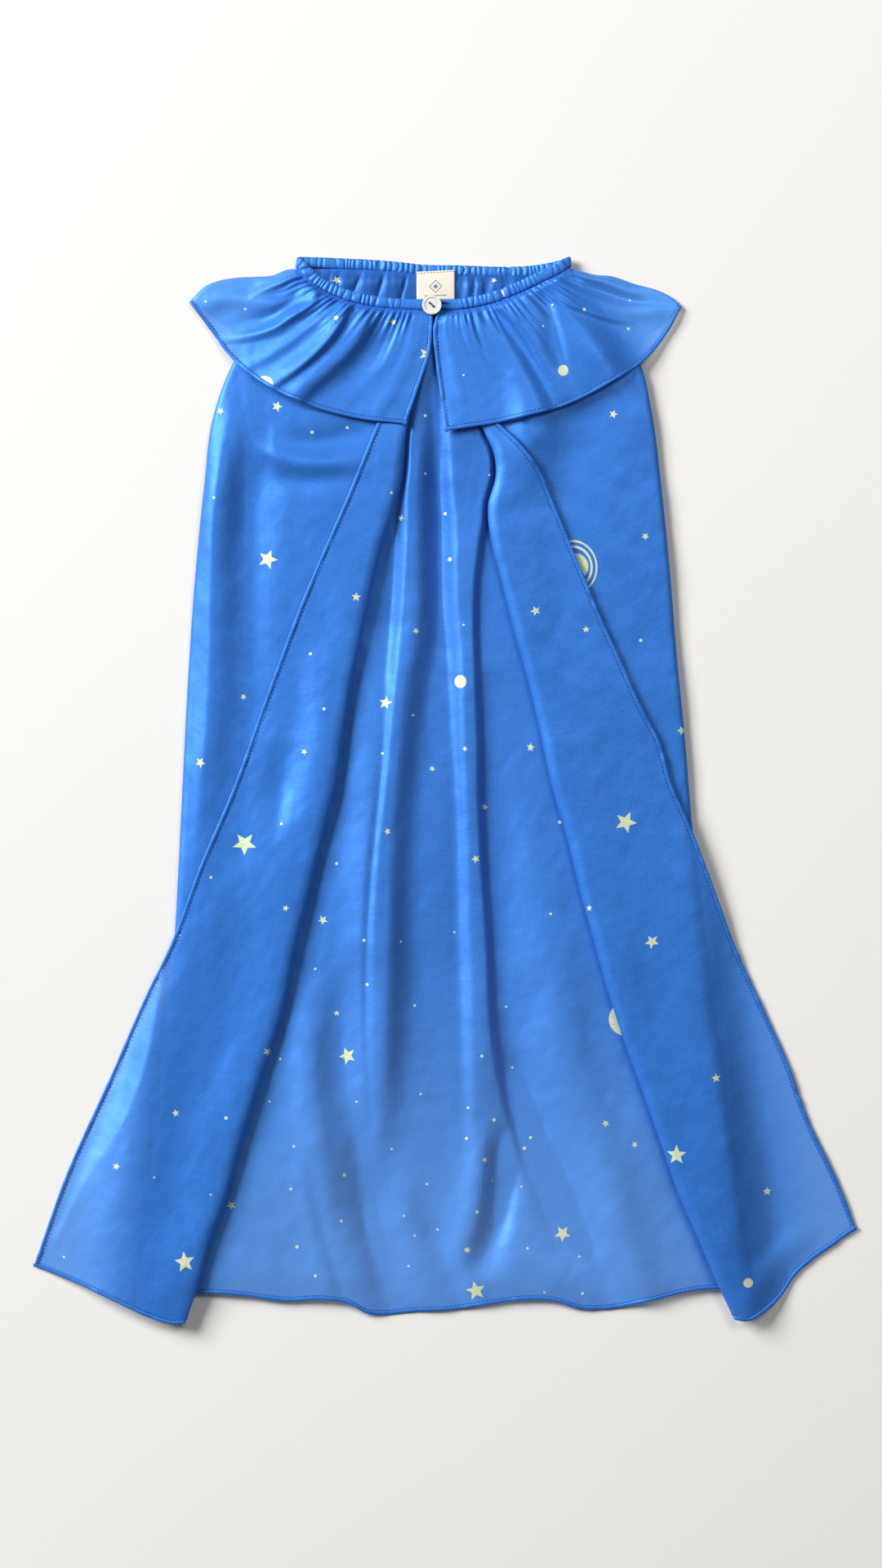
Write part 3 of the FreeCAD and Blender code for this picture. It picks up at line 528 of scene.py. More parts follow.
def turned_front(fold, edge, tip, side, sign, own_folds):
    """A front's turned-back part, from its fold to its outer hem, in rows from the collar to the bottom.

    It lies on the front, and beyond the cape's side on the table. Sign is -1 on the left and 1 on the right.
    """
    columns = panel_columns(64, 0.05, 6)[None, :]
    top = 290
    y = top + (smooth(tip, columns) - top) * np.linspace(0, 1, 251)[:, None]
    x = smooth(fold, y) * (1 - columns) + smooth(edge, y) * columns
    from_fold = np.abs(x - smooth(fold, y))
    folds = relief(x, y)
    own = ridges(own_folds, x, y)
    on_front = folds + FOLD + roll(from_fold, y) + own
    past_side = sign * (x - smooth(side, y))
    on_table = 0.9 + np.maximum(folds - 1.2, 0) + 0.6 * roll(from_fold, y) + own
    from_edge = np.abs(smooth(edge, y) - x)
    fallen = np.maximum(ease(-8, 75 if sign < 0 else 26, past_side),
                        ease(34, 2, from_edge) * ease(2, 26, past_side))
    z = on_front * (1 - fallen) + on_table * fallen
    return np.stack([x, y, z], axis=-1)


# ------------------------------------------------------------------ the collar
# Each half: its seam, hem, front edge, and the wing line where it folds over to the back collar, as (x, y).
LEFT_COLLAR = {
    "seam": [(-8, 314), (-30, 315), (-46, 316.5), (-66, 321), (-86, 331), (-95, 341.6)],
    "hem": [(-25.7, 239), (-56, 242.5), (-88, 251), (-121, 267), (-140, 283), (-155, 303), (-167.8, 320)],
    "front": [(-8, 314), (-8.5, 300), (-9.5, 288), (-16, 267), (-25.7, 239)],
    "wing": [(-95, 341.6), (-104, 341), (-113, 337.5), (-125, 336.6), (-137, 336), (-158, 330),
             (-167.8, 320)],
}
RIGHT_COLLAR = {
    "seam": [(-5, 314), (10, 314.5), (28, 318), (47, 325), (66, 334), (82, 341.6)],
    "hem": [(0, 234.5), (40, 241), (78, 251), (104.5, 264), (133, 284), (145, 299), (155, 317)],
    "front": [(-5, 314), (-7.5, 302), (-6.4, 283), (-2.7, 256), (0, 234.5)],
    "wing": [(82, 341.6), (88, 340.5), (97, 338), (109, 337), (124, 332), (141, 327), (150, 322), (155, 317)],
}
LEFT_COLLAR_FOLDS = [
    # one broad dark slope from the neck to the hem, with a wide rise on either side
    ([(322, -48), (305, -60), (285, -76), (262, -96), (250, -104)], 20, 10,
     [(324, 0), (310, 3.0), (280, 5.0), (245, 3.2)]),
    ([(318, -30), (300, -36), (280, -48), (255, -66), (240, -74)], 9, 10,
     [(318, 0), (300, -2.0), (270, -2.6), (240, -1.4)]),
    ([(331, -84), (317, -88), (309, -100), (299.5, -116), (294, -133)], 5, 3,
     [(336, 0), (326, 2), (300, 2.6), (292, 0)]),
    ([(330, -63), (320.5, -61.8), (307, -68), (291, -79), (276, -95), (265, -110)],
     7, 3, [(332, 0), (322, 2.6), (290, 3.4), (270, 2), (258, 0.6)]),
    ([(322, -58), (307, -63), (291, -73), (276, -89), (265, -104)], 2, 7,
     [(325, 0), (310, -1.3), (270, -1), (258, 0)]),
    ([(324, -74), (310, -80), (300, -92), (288, -108), (278, -124)], 5, 4,
     [(328, 0), (315, 1.4), (285, 1.4), (272, 0)]),
    ([(319, -50), (305, -52), (290, -60), (275, -74), (262, -88), (252, -98)],
     7, 4, [(320, 0), (308, 1.8), (270, 1.8), (248, 0.8)]),
    ([(316, -34), (300, -33), (285, -38), (268, -52), (250, -68), (242, -74)],
     8, 6, [(318, 0), (300, 1.5), (265, 1.7), (240, 1.0)]),
    ([(310, -20), (290, -22), (270, -30), (245, -44)], 6, 5,
     [(312, 0), (300, 0.8), (262, 1.0), (240, 0.8)]),
]
LEFT_WING_FOLDS = [  # lines as (x, y), with the reach below the line first
    ([(-95, 337), (-108, 331.5), (-116, 328.5), (-126, 325)], 3, 4,
     [(-92, 0), (-100, 2.6), (-118, 2.6), (-129, 0)]),
    ([(-98, 316), (-110, 318), (-130, 321.5), (-145, 322), (-160, 318)],
     7, 6, [(-95, 0), (-110, 1.8), (-140, 2.6), (-158, 1.4), (-168, 0)]),
    ([(-95, 326), (-101, 319), (-110, 312.5), (-134, 306)], 5, 4,
     [(-92, 0), (-101, -1.6), (-125, -1.2), (-145, 0)]),
]
RIGHT_COLLAR_FOLDS = [
    # a rise from the neck down to the middle of the hem, and another towards the wing
    ([(318, 22), (300, 34), (280, 46), (255, 58), (240, 64)], 24, 9,
     [(320, 0), (305, 3.2), (280, 4.4), (240, 2.6)]),
    ([(325, 60), (310, 76), (290, 92), (270, 104)], 22, 14, [(328, 0), (310, 3.0), (290, 4.0), (262, 2.4)]),
    ([(316, 12), (305, 14), (290, 21), (272, 32)], 4, 3, [(318, 0), (306, 1.4), (290, 1.4), (268, 0)]),
    ([(316, -1), (300, 2), (280, 8), (250, 14)], 8, 7, [(316, 0), (300, 1.0), (260, 1.4), (236, 0.8)]),
    ([(320, 24), (315, 31), (304, 42), (289, 52), (274, 61), (262, 69)],
     9, 1.8, [(322, 0), (315, -1.4), (290, -1.8), (270, -1.2), (256, 0)]),
    ([(322, 30), (315, 38), (303, 47), (289, 57), (272, 66), (255, 76)],
     4, 8, [(324, 0), (315, 2.2), (290, 2.4), (265, 1.6), (248, 0.6)]),
    ([(332, 61), (315, 67.6), (298, 73), (278, 78)], 6, 3, [(334, 0), (320, -1.6), (295, -1.4), (272, 0)]),
    ([(320, 46), (305, 56), (285, 64), (262, 80)], 5, 6, [(322, 0), (308, 1.2), (280, 1.0), (260, 0.4)]),
    ([(300, 92), (280, 104), (268, 112)], 12, 10, [(306, 0), (285, 1.4), (262, 0.8)]),
]
RIGHT_WING_FOLDS = [
    ([(70, 329), (80, 319), (90, 314.5), (106, 309), (125, 306)], 2.5, 7,
     [(66, 0), (76, 2.2), (95, 2), (125, 0)]),
    ([(86, 338), (100, 334), (110, 330.5), (128, 324)], 4, 5, [(82, 0), (92, 2.2), (112, 2.4), (132, 0)]),
    ([(95, 330), (110, 324), (124, 319), (136, 317)], 4, 4, [(90, 0), (105, -1.2), (124, -1.2), (142, 0)]),
    ([(96, 322), (120, 317.5), (142, 315)], 8, 3, [(90, 0), (110, 1.6), (135, 1.6), (154, 0)]),
]
BUTTON = (-8.8, 317)
NO_WING = 60.0  # a depth behind the wing line that is out of reach of its turn
COLLAR_ROWS = np.linspace(0, 1, 91)[:, None]
COLLAR_COLUMNS = 1 - np.linspace(1, 0, 241)[None, :]


def route(points, share):
    """Points at these shares of the way along a smooth line through the given points."""
    points = np.array(points, float)
    steps = np.linalg.norm(np.diff(points, axis=0), axis=1)
    marks = np.concatenate([[0], np.cumsum(steps)]) / steps.sum()
    return np.stack([smooth(list(zip(marks, points[:, k])), share) for k in range(points.shape[1])], axis=-1)


def fanned(top, bottom, first, last, across, down):
    """Points of a sheet that fans out from its top line to its bottom one, with its two ends as given."""
    a = route(top, across)
    b = route(bottom, across)
    straight = a * (1 - down[..., None]) + b * down[..., None]
    start = route(first, down) - straight[:, :1]
    finish = route(last, down) - straight[:, -1:]
    return straight + start * (1 - across[..., None]) ** 4 + finish * across[..., None] ** 5


def past_body(x, y):
    """How far a place lies outside the cape's two sides."""
    return np.maximum(smooth(LEFT_SIDE, y) - x, x - smooth(RIGHT_SIDE, y))


def collar_heights(x, y, wing_depth, folds, wing_folds):
    """Heights of the front collar and of the back collar below it, which meet in a soft turn at the wing."""
    outside = ease(-26, 30, past_body(x, y))
    above = (relief(x, y) + COLLAR) * (1 - outside) + WING * outside
    above = above + ridges(folds, x, y) + ridges(wing_folds, y, x)
    below = 0.5 + 0.3 * ease(0, 12, past_body(x, y)) + 0.25 * lattice(x, y, 14, 8)
    above = np.maximum(above, below + 0.8)
    turned = rounded(np.maximum(wing_depth, 0), 4)
    middle = (above + below) / 2
    return middle + (above - middle) * turned, middle + (below - middle) * turned


def collar_half(shape, folds, wing_folds, seed):
    """A front half of the collar: a ruffle that fans out from the neck band, gathered small at its seam.

    The small pleats at the seam die away within a finger's width. A few long folds run on to the hem.
    """
    plan = fanned(shape["seam"], shape["hem"], shape["front"], shape["wing"], COLLAR_COLUMNS, COLLAR_ROWS)
    x, y = plan[..., 0], plan[..., 1]
    depth = np.where(COLLAR_COLUMNS > 0.55, smooth(shape["wing"], x) - y, NO_WING)
    seam_length, collar_depth = 92, 78
    across = COLLAR_COLUMNS * seam_length + 0 * COLLAR_ROWS
    down = COLLAR_ROWS * collar_depth + 0 * COLLAR_COLUMNS
    z = collar_heights(x, y, depth, folds, wing_folds)[0]
    flat_end = ease(0, 0.2, COLLAR_COLUMNS) * (1 - ease(0.9, 1, COLLAR_COLUMNS))
    z = z + flat_end * (pleats(across, down, 3.9, 9, 2.0, seed) + pleats(across, down, 11, 22, 0.9, seed + 7))
    seam_z = COLLAR_AT_SEAM + (WING_AT_SEAM - COLLAR_AT_SEAM) * ease(0.9, 1, COLLAR_COLUMNS)
    z = z + (seam_z - z) * ease(5, 0, down)
    from_button = np.hypot(x - BUTTON[0], y - BUTTON[1])
    z = z + (np.minimum(z, BUTTON_SEAT) - z) * ease(14, 8, from_button)
    return np.stack([x, y, z], axis=-1)


def back_collar():
    """The back of the collar, lying on the table under the cape, from one wing line to the other."""
    hem = [LEFT_COLLAR["hem"][-1], (-150, 309), (-135, 296), (-128, 275), (-80, 254), (-7, 246), (70, 254),
           (115, 278), (124, 291), (138, 303), RIGHT_COLLAR["hem"][-1]]
    seam = [(-95, 341.6), (-7, 341.6), (82, 341.6)]
    across = np.linspace(0, 1, 301)[None, :]
    down = np.linspace(0, 1, 61)[:, None]
    plan = fanned(seam, hem, LEFT_COLLAR["wing"], RIGHT_COLLAR["wing"], across, down)
    x, y = plan[..., 0], plan[..., 1]
    left_depth = np.where(x < -94, smooth(LEFT_COLLAR["wing"], x) - y, NO_WING)
    right_depth = np.where(x > 81, smooth(RIGHT_COLLAR["wing"], x) - y, NO_WING)
    z = np.where(x < -7, collar_heights(x, y, left_depth, LEFT_COLLAR_FOLDS, LEFT_WING_FOLDS)[1],
                 collar_heights(x, y, right_depth, RIGHT_COLLAR_FOLDS, RIGHT_WING_FOLDS)[1])
    return np.stack([x, y, z], axis=-1)


# ------------------------------------------------------------------ hems, stitches, and the neck band
def tube(path, half_width, half_height, around=10):
    """An oval tube along a path. The half sizes may change along it, and the ends close to a point."""
    _, side, above = frames_along(path)
    turn = np.linspace(0, 2 * math.pi, around, endpoint=False)
    close = np.r_[0.05, np.ones(len(path) - 2), 0.05]
    wide = np.broadcast_to(half_width, len(path)) * close
    high = np.broadcast_to(half_height, len(path)) * close
    return (path[:, None, :] + side[:, None, :] * (wide[:, None] * np.cos(turn))[..., None]
            + above[:, None, :] * (high[:, None] * np.sin(turn))[..., None])


def rolled_hem(name, edge, inward, seed):
    """A narrow rolled hem along the edge of a sheet: a flat oval tube, puckered where the stitches pull it.

    Inward points from the edge into the cloth, so the hem lies just inside the outline.
    """
    inset, lift, half_width, half_height, lowest = 1.1, 0.25, 1.25, 0.4, 0.03
    path, length = resample(edge + inward * inset, 0.9)
    path = path + lift * UP
    pull = lattice(length, 0 * length, 5.5, seed)
    deep = np.maximum(lattice(length, 0 * length, 15, seed + 1) - 0.55, 0)
    path[:, 2] += 0.25 * pull - 0.8 * deep
    xyz = tube(path, half_width + 0.16 * pull, half_height + 0.12 * pull)
    xyz[..., 2] = np.maximum(xyz[..., 2], lowest)
    around = np.linspace(0, 9, xyz.shape[1])[None, :] + 0 * length[:, None]
    cloth = np.stack([around, length[:, None] + 0 * around], axis=-1)
    return grid_object(name, xyz, cloth, closed_across=True)


def stitches(name, path, pitch, long, thick, lift):
    """A row of running stitches: short spindles along a path, all in one mesh."""
    even, _ = resample(path, pitch)
    along, side, above = frames_along(even)
    place = np.linspace(-0.5, 0.5, 5)
    radius = thick / 2 * np.sqrt(1 - (place * 1.9) ** 2)
    turn = np.linspace(0, 2 * math.pi, 5, endpoint=False)
    ring_side = radius[:, None] * np.cos(turn)
    ring_above = radius[:, None] * np.sin(turn) + lift * (1 - (place[:, None] * 2) ** 2 * 0.6)
    xyz = (even[:, None, None, :] + along[:, None, None, :] * (place * long)[None, :, None, None]
           + side[:, None, None, :] * ring_side[None, ..., None]
           + above[:, None, None, :] * ring_above[None, ..., None])
    count, rings, corners = xyz.shape[:3]
    index = np.arange(count * rings * corners).reshape(count, rings, corners)
    wrapped = np.roll(index, -1, axis=2)
    quads = np.stack([index[:, :-1], index[:, 1:], wrapped[:, 1:], wrapped[:, :-1]], axis=-1).reshape(-1, 4)
    mesh = bpy.data.meshes.new(name)
    ends = np.concatenate([index[:, 0, :], index[:, -1, ::-1]])
    mesh.from_pydata((xyz.reshape(-1, 3) * MM).tolist(), [], quads.tolist() + ends.tolist())
    mesh.polygons.foreach_set("use_smooth", np.ones(len(mesh.polygons), bool))
    mesh.update()
    return placed(name, mesh)


def ruched(name, path, half_width, half_height, ruche, seed, around=24):
    """A casing gathered on elastic: a flat oval tube whose skin stands in uneven pleats across the band.

    Each pleat is one swell of a wandering wave along the band. The groove beside it bites into the flat and
    into both edges. The band's width always points towards the neck side, so it folds over at the corners.
    """
    pitch = 4.0
    path, length = resample(path, 0.45)
    wander = 1.2 * lattice(length, 0 * length, 11, seed) + 0.45 * lattice(length, 0 * length, 5, seed + 1)
    strength = ruche * (0.7 + 0.5 * lattice(length, 0 * length, 8, seed + 2))
    strength = strength * ease(0, 6, length) * ease(0, 6, length[-1] - length)
    turn = np.linspace(0, 2 * math.pi, around, endpoint=False)
    cos = np.cos(turn)[None, :]
    sin = np.sin(turn)[None, :]
    slant = 0.3 * lattice(length[:, None] + 0 * cos, 3.7 * cos + 20 * (sin > 0), 4.5, seed + 3)
    wave = np.sin(2 * math.pi * (length[:, None] / pitch + wander[:, None] + slant))
    swell = 0.6 * np.sqrt(np.maximum(wave, 0)) - 1.5 * np.maximum(-wave, 0) ** 2.5
    wide = half_width + strength[:, None] * 0.45 * swell
    high = half_height + strength[:, None] * swell
    across = wide * np.sign(cos) * np.abs(cos) ** 0.8
    upward = high * np.sign(sin) * np.abs(sin) ** 0.7
    along = unit(np.gradient(path, axis=0))
    side = unit(np.array([0, 1.0, 0]) - along[:, 1:2] * along)
    outward = np.cross(along, side)
    close = np.ones((len(path), 1))
    close[[0, -1]] = 0.1
    xyz = (path[:, None, :] + side[:, None, :] * (across * close)[..., None]
           + outward[:, None, :] * (upward * close)[..., None])
    xyz[..., 2] = np.maximum(xyz[..., 2], 0.05)
    cloth = np.stack([np.cumsum(0 * across + 0.7, axis=1), length[:, None] + 0 * across], axis=-1)
    return grid_object(name, xyz, cloth, closed_across=True)


# Middle of the band, from the end of the left placket round the neck to the right placket, as (x, y, z).
NECK_LINE = [
    (-29, 318.0, 7.7), (-45, 319.8, 7.8), (-64.5, 324.3, 7.9), (-78, 330.0, 7.9), (-88, 337.0, 7.6),
    (-94, 343.2, 6.6), (-96.3, 345.6, 4.8), (-94, 346.1, 2.8), (-86, 346.0, 1.9), (-69, 345.3, 1.9),
    (-47, 344.2, 1.9), (-30, 342.8, 1.9), (-18, 341.4, 1.9), (10, 340.6, 1.9), (37, 339.8, 1.9),
    (56, 340.4, 1.9), (70, 342.6, 2.0), (78, 344.6, 2.6), (82.0, 346.0, 4.6), (79.5, 345.0, 6.8),
    (73, 341.0, 7.7), (63, 336.2, 7.9), (46, 328.2, 7.9), (28, 321.6, 7.8), (9, 318.0, 7.7),
]


def neck_pieces():
    """The gathered casing, the elastic inside it, and the two flat placket ends below the button."""
    line = route(NECK_LINE, np.linspace(0, 1, 700))
    casing = ruched("neck_casing_ruched", line, half_width=3.45, half_height=1.25, ruche=0.62, seed=41)
    elastic = ruched("neck_elastic_braid", line, 2.6, 0.35, ruche=0.0, seed=42, around=10)
    left = np.linspace((-30.5, 318.1, 7.7), (-7.2, 317.2, 7.7), 40)
    right = np.linspace((-6.0, 317.2, 7.7), (10.5, 318.1, 7.7), 40)
    left_end = ruched("left_placket_flat", left, 3.5, 0.95, ruche=0.0, seed=43)
    right_end = ruched("right_placket_flat", right, 3.5, 0.95, ruche=0.0, seed=44)
    return casing, elastic, left_end, right_end


def edge_path(*sides):
    """The path along a sheet's edge, and unit vectors inwards: each stretch has the points inside it."""
    path = np.concatenate([outer for outer, _ in sides])
    return path, unit(np.concatenate([inner - outer for outer, inner in sides]))


# ------------------------------------------------------------------ materials
class Nodes:
    """Short calls for building a node tree."""

    def __init__(self, tree):
        self.tree = tree

    def add(self, kind, inputs=None, **settings):
        node = self.tree.nodes.new(kind)
        for key, value in settings.items():
            setattr(node, key, value)
        for key, value in (inputs or {}).items():
            self.put(node.inputs[key], value)
        return node

    def put(self, socket, value):
        if isinstance(value, bpy.types.NodeSocket):
            self.tree.links.new(value, socket)
        else:
            socket.default_value = value

    def math(self, operation, first, second=0.0, clamp=False):
        values = {0: first, 1: second}
        return self.add("ShaderNodeMath", values, operation=operation, use_clamp=clamp).outputs[0]

    def chain(self, operation, values):
        total = values[0]
        for value in values[1:]:
            total = self.math(operation, total, value)
        return total

    def times(self, *values):
        return self.chain("MULTIPLY", values)

    def plus(self, *values):
        return self.chain("ADD", values)

    def minus(self, first, second):
        return self.math("SUBTRACT", first, second)

    def most(self, *values):
        return self.chain("MAXIMUM", values)

    def size(self, value):
        return self.math("ABSOLUTE", value)

    def mix(self, amount, low, high):
        return self.add("ShaderNodeMix", {0: amount, 6: low, 7: high}, data_type="RGBA").outputs[2]

    def ramp(self, value, low, high, out_low=0.0, out_high=1.0):
        return self.add("ShaderNodeMapRange", {0: value, 1: low, 2: high, 3: out_low, 4: out_high}).outputs[0]

    def map(self, name):
        return self.add("ShaderNodeUVMap", uv_map=name).outputs[0]

    def own_place(self):
        return self.add("ShaderNodeTexCoord").outputs["Object"]

    def noise(self, vector, scale, detail=2.0, **more):
        inputs = {"Vector": vector, "Scale": scale, "Detail": detail, **more}
        return self.add("ShaderNodeTexNoise", inputs).outputs[0]

    def waves(self, vector, scale, distortion, **more):
        inputs = {"Vector": vector, "Scale": scale, "Distortion": distortion, **more}
        return self.add("ShaderNodeTexWave", inputs).outputs["Fac"]

    def bump(self, shader, height, strength, distance):
        relief = self.add("ShaderNodeBump", {"Height": height, "Strength": strength, "Distance": distance})
        self.put(shader.inputs["Normal"], relief.outputs[0])


def group(name, inputs, outputs):
    """An empty shader node group with these sockets, its node builder, and its input and output nodes."""
    tree = bpy.data.node_groups.new(name, "ShaderNodeTree")
    for label, kind, value in inputs:
        socket = tree.interface.new_socket(label, in_out="INPUT", socket_type=kind)
        socket.default_value = value
    for label, kind in outputs:
        tree.interface.new_socket(label, in_out="OUTPUT", socket_type=kind)
    nodes = Nodes(tree)
    return tree, nodes, nodes.add("NodeGroupInput"), nodes.add("NodeGroupOutput")


def night_print():
    """Mask of the printed sky: five-pointed stars, discs and a ringed ball, each in its motif's own map.

    A star is one straight edge from a point to a notch, repeated by folding the angle every fifth of a turn.
    """
    tree, n, given, out = group(
        "night_print", [("Wear", "NodeSocketFloat", 0.1)], [("Mask", "NodeSocketFloat")])
    place = n.add("ShaderNodeSeparateXYZ", {0: n.map("print")})
    kind = n.math("FLOOR", n.math("DIVIDE", n.plus(place.outputs[0], KIND_STEP / 2), KIND_STEP))
    u = n.minus(place.outputs[0], n.times(kind, KIND_STEP))
    v = place.outputs[1]
    distance = n.math("SQRT", n.plus(n.times(u, u), n.times(v, v)))
    angle = n.math("PINGPONG", n.math("ARCTAN2", v, u), math.pi / 5)
    along = n.times(distance, n.math("COSINE", angle))
    across = n.times(distance, n.math("SINE", angle))
    notch = 0.44
    edge_x = notch * math.cos(math.pi / 5) - 1
    edge_y = notch * math.sin(math.pi / 5)
    star = n.ramp(n.minus(n.times(across, edge_x), n.times(n.minus(along, 1.0), edge_y)), -0.012, 0.012)
    disc = n.ramp(distance, 1.0, 0.94)
    stretched = n.math("SQRT", n.plus(n.times(u, u, 1.5), n.times(v, v)))
    ball = n.ramp(distance, 0.5, 0.47)
    ring = n.ramp(n.size(n.minus(stretched, 0.72)), 0.05, 0.035)
    outer = n.ramp(n.size(n.minus(stretched, 0.92)), 0.04, 0.025)
    shapes = {STAR: star, DISC: disc, RINGED: n.most(ball, ring, outer)}

    def is_kind(number):
        return n.add("ShaderNodeMath", {0: kind, 1: float(number), 2: 0.4}, operation="COMPARE").outputs[0]

    mask = n.plus(*[n.times(shape, is_kind(number)) for number, shape in shapes.items()])
    speckle = n.noise(n.map("cloth"), 900.0)
    kept = n.ramp(n.minus(speckle, n.times(given.outputs[0], 1.6)), 0.05, 0.25)
    n.put(out.inputs[0], n.math("MULTIPLY", mask, kept, clamp=True))
    return tree


def silk_weave():
    """Plain weave of thin silk: slubs along both yarns, a faint grain, and the soft crumple of worn cloth."""
    tree, n, given, out = group(
        "silk_weave", [("Grain", "NodeSocketFloat", 1.0), ("Crumple", "NodeSocketFloat", 1.0)],
        [("Height", "NodeSocketFloat"), ("Slub", "NodeSocketFloat")])
    cloth = n.map("cloth")

    def streaks(scale, start):
        stretched = n.add("ShaderNodeMapping", {"Vector": cloth, "Scale": scale, "Location": (start, 0, 0)})
        return n.noise(stretched.outputs[0], 1.0)

    slub = n.plus(n.times(streaks((60, 1600, 1), 1.0), 0.6), n.times(streaks((1300, 70, 1), 5.0), 0.4))
    crumple = n.noise(cloth, 70.0, 3.0, Roughness=0.45)
    height = n.plus(n.times(slub, 0.10, given.outputs[0]), n.times(crumple, 2.2, given.outputs[1]))
    n.put(out.inputs[0], height)
    n.put(out.inputs[1], slub)
    return tree


PRINT = night_print()
WEAVE = silk_weave()
SILK_DEEP = (0.027, 0.162, 0.60, 1)
SILK_PALE = (0.043, 0.218, 0.72, 1)
SILK_PAINTED_LIGHT = (0.10, 0.35, 0.94, 1)  # painted light: the cloth made paler where the table's light comes through it
SILK_PAINTED_SHADE = (0.012, 0.085, 0.36, 1)  # painted shade: darker where many layers lie below it, in the neck well and under the collar
STAR_PALE = (0.70, 0.78, 0.50, 1)


def material(name, **constants):
    """A new material, its node builder and its Principled shader, with these of its sockets set."""
    made = bpy.data.materials.new(name)
    made.use_nodes = True
    shader = made.node_tree.nodes["Principled BSDF"]
    for socket, value in constants.items():
        shader.inputs[socket.replace("_", " ")].default_value = value
    return made, Nodes(made.node_tree), shader


def silk(name, cover, print_on=True, deep=SILK_DEEP, pale=SILK_PALE, crumple=1.0):
    """Blue habotai: cover is how much of what lies behind one layer it hides."""
    made, n, shader = material(name, Roughness=0.46, Sheen_Weight=0.12, Sheen_Roughness=0.4,
                               Sheen_Tint=(0.5, 0.75, 1, 1), Specular_IOR_Level=0.5,
                               Specular_Tint=(0.45, 0.72, 1, 1), Metallic=0.26)
    weave = n.add("ShaderNodeGroup", {}, node_tree=WEAVE)
    weave.inputs["Crumple"].default_value = crumple
    slub = n.ramp(weave.outputs["Slub"], 0.3, 0.7)
    # painted light and shade: the blue turns paler where the table's light is painted in, and darker where
    # shade is painted; the painted light also thins the cloth a little
    light_shade_paint = n.add("ShaderNodeAttribute", attribute_name="painted_light_shade").outputs["Fac"]
    colour = n.mix(light_shade_paint, n.mix(slub, deep, pale), SILK_PAINTED_LIGHT)
    colour = n.mix(n.math("MULTIPLY", light_shade_paint, -1.0, clamp=True), colour, SILK_PAINTED_SHADE)
    seen_through = n.times(n.most(light_shade_paint, 0.0), 0.16)
    alpha = n.minus(n.ramp(slub, 0.0, 1.0, cover + 0.02, cover - 0.02), seen_through)
    if print_on:
        mask = n.add("ShaderNodeGroup", {}, node_tree=PRINT).outputs[0]
        colour = n.mix(mask, colour, STAR_PALE)
        alpha = n.most(alpha, n.times(mask, 0.97))
        n.put(shader.inputs["Roughness"], n.ramp(mask, 0.0, 1.0, 0.46, 0.6))
    n.put(shader.inputs["Base Color"], colour)
    n.put(shader.inputs["Alpha"], alpha)
    n.bump(shader, weave.outputs["Height"], 0.35, 0.0006)
    return made


def thread_material(name, colour):
    """Sewing thread: matt, with the twist of its plies."""
    made, n, shader = material(name, Roughness=0.6)
    twist = n.waves(n.own_place(), 700.0, 1.5)
    dark = tuple(c * 0.6 for c in colour[:3]) + (1,)
    # painted shade: the thread is darker in the grooves of its twist
    n.put(shader.inputs["Base Color"], n.mix(twist, dark, colour))
    n.bump(shader, twist, 0.4, 0.0001)
    return made


def shell_material():
    """Mother-of-pearl: warm white with wandering grey-green and rose bands, and a clear polish."""
    made, n, shader = material("button_shell", Coat_Weight=0.5, Coat_Roughness=0.1)
    where = n.own_place()
    bent = n.noise(where, 160.0, 3.0)
    bands = n.waves(where, 55.0, 6.0, Detail=3.0)
    grey = n.mix(n.ramp(bent, 0.35, 0.65), (0.80, 0.79, 0.74, 1), (0.62, 0.65, 0.62, 1))
    n.put(shader.inputs["Base Color"], n.mix(n.ramp(bands, 0.2, 1.0, 0.0, 0.35), grey, (0.86, 0.80, 0.77, 1)))
    n.put(shader.inputs["Roughness"], n.ramp(bent, 0.3, 0.7, 0.22, 0.36))
    n.bump(shader, bands, 0.15, 0.0002)
    return made


def label_material():
    """Cream cotton tape: twill lines, and a small woven lozenge above one narrow stripe, in metres."""
    made, n, shader = material("label_cotton", Roughness=0.85)
    place = n.add("ShaderNodeSeparateXYZ", {0: n.map("cloth")})
    u, v = place.outputs[0], place.outputs[1]
    twill = n.math("SINE", n.times(n.plus(u, v), 2 * math.pi / 0.0006))
    lozenge = n.plus(n.size(u), n.size(n.plus(v, 0.0105)))
    rim = n.ramp(n.size(n.minus(lozenge, 0.0040)), 0.00045, 0.0003)
    heart = n.ramp(lozenge, 0.0018, 0.0016)
    stripe = n.times(n.ramp(n.size(n.plus(v, 0.0165)), 0.00035, 0.00025), n.ramp(n.size(u), 0.0075, 0.0073))
    motif = n.times(n.most(rim, heart, stripe), n.ramp(twill, -1.0, 0.2, 0.7, 1.0))
    # painted shade: the tape is darker in the grooves of its twill
    base = n.mix(n.ramp(twill, -1.0, 1.0), (0.72, 0.68, 0.58, 1), (0.84, 0.80, 0.70, 1))
    n.put(shader.inputs["Base Color"], n.mix(motif, base, (0.06, 0.13, 0.30, 1)))
    n.bump(shader, twill, 0.3, 0.0002)
    return made


def elastic_material():
    """White braided elastic: ribs along it, and the crossing of the braid."""
    made, n, shader = material("elastic_braid", Roughness=0.8)
    ribs = n.waves(n.map("cloth"), 400.0, 0.6)
    # painted shade: the elastic is greyer in the grooves between its ribs
    n.put(shader.inputs["Base Color"], n.mix(ribs, (0.62, 0.61, 0.58, 1), (0.86, 0.85, 0.82, 1)))
    n.bump(shader, ribs, 0.5, 0.0003)
    return made


SILK_BODY = silk("silk_body", cover=0.95)
SILK_COLLAR = silk("silk_collar", cover=0.93)
SILK_HEM = silk("silk_hem", cover=0.99, print_on=False, deep=(0.023, 0.145, 0.56, 1),
                pale=(0.036, 0.20, 0.68, 1), crumple=0.3)
SILK_BAND = silk("silk_band", cover=1.0, print_on=False, crumple=0.3)
THREAD_BLUE = thread_material("thread_blue", (0.015, 0.06, 0.32, 1))


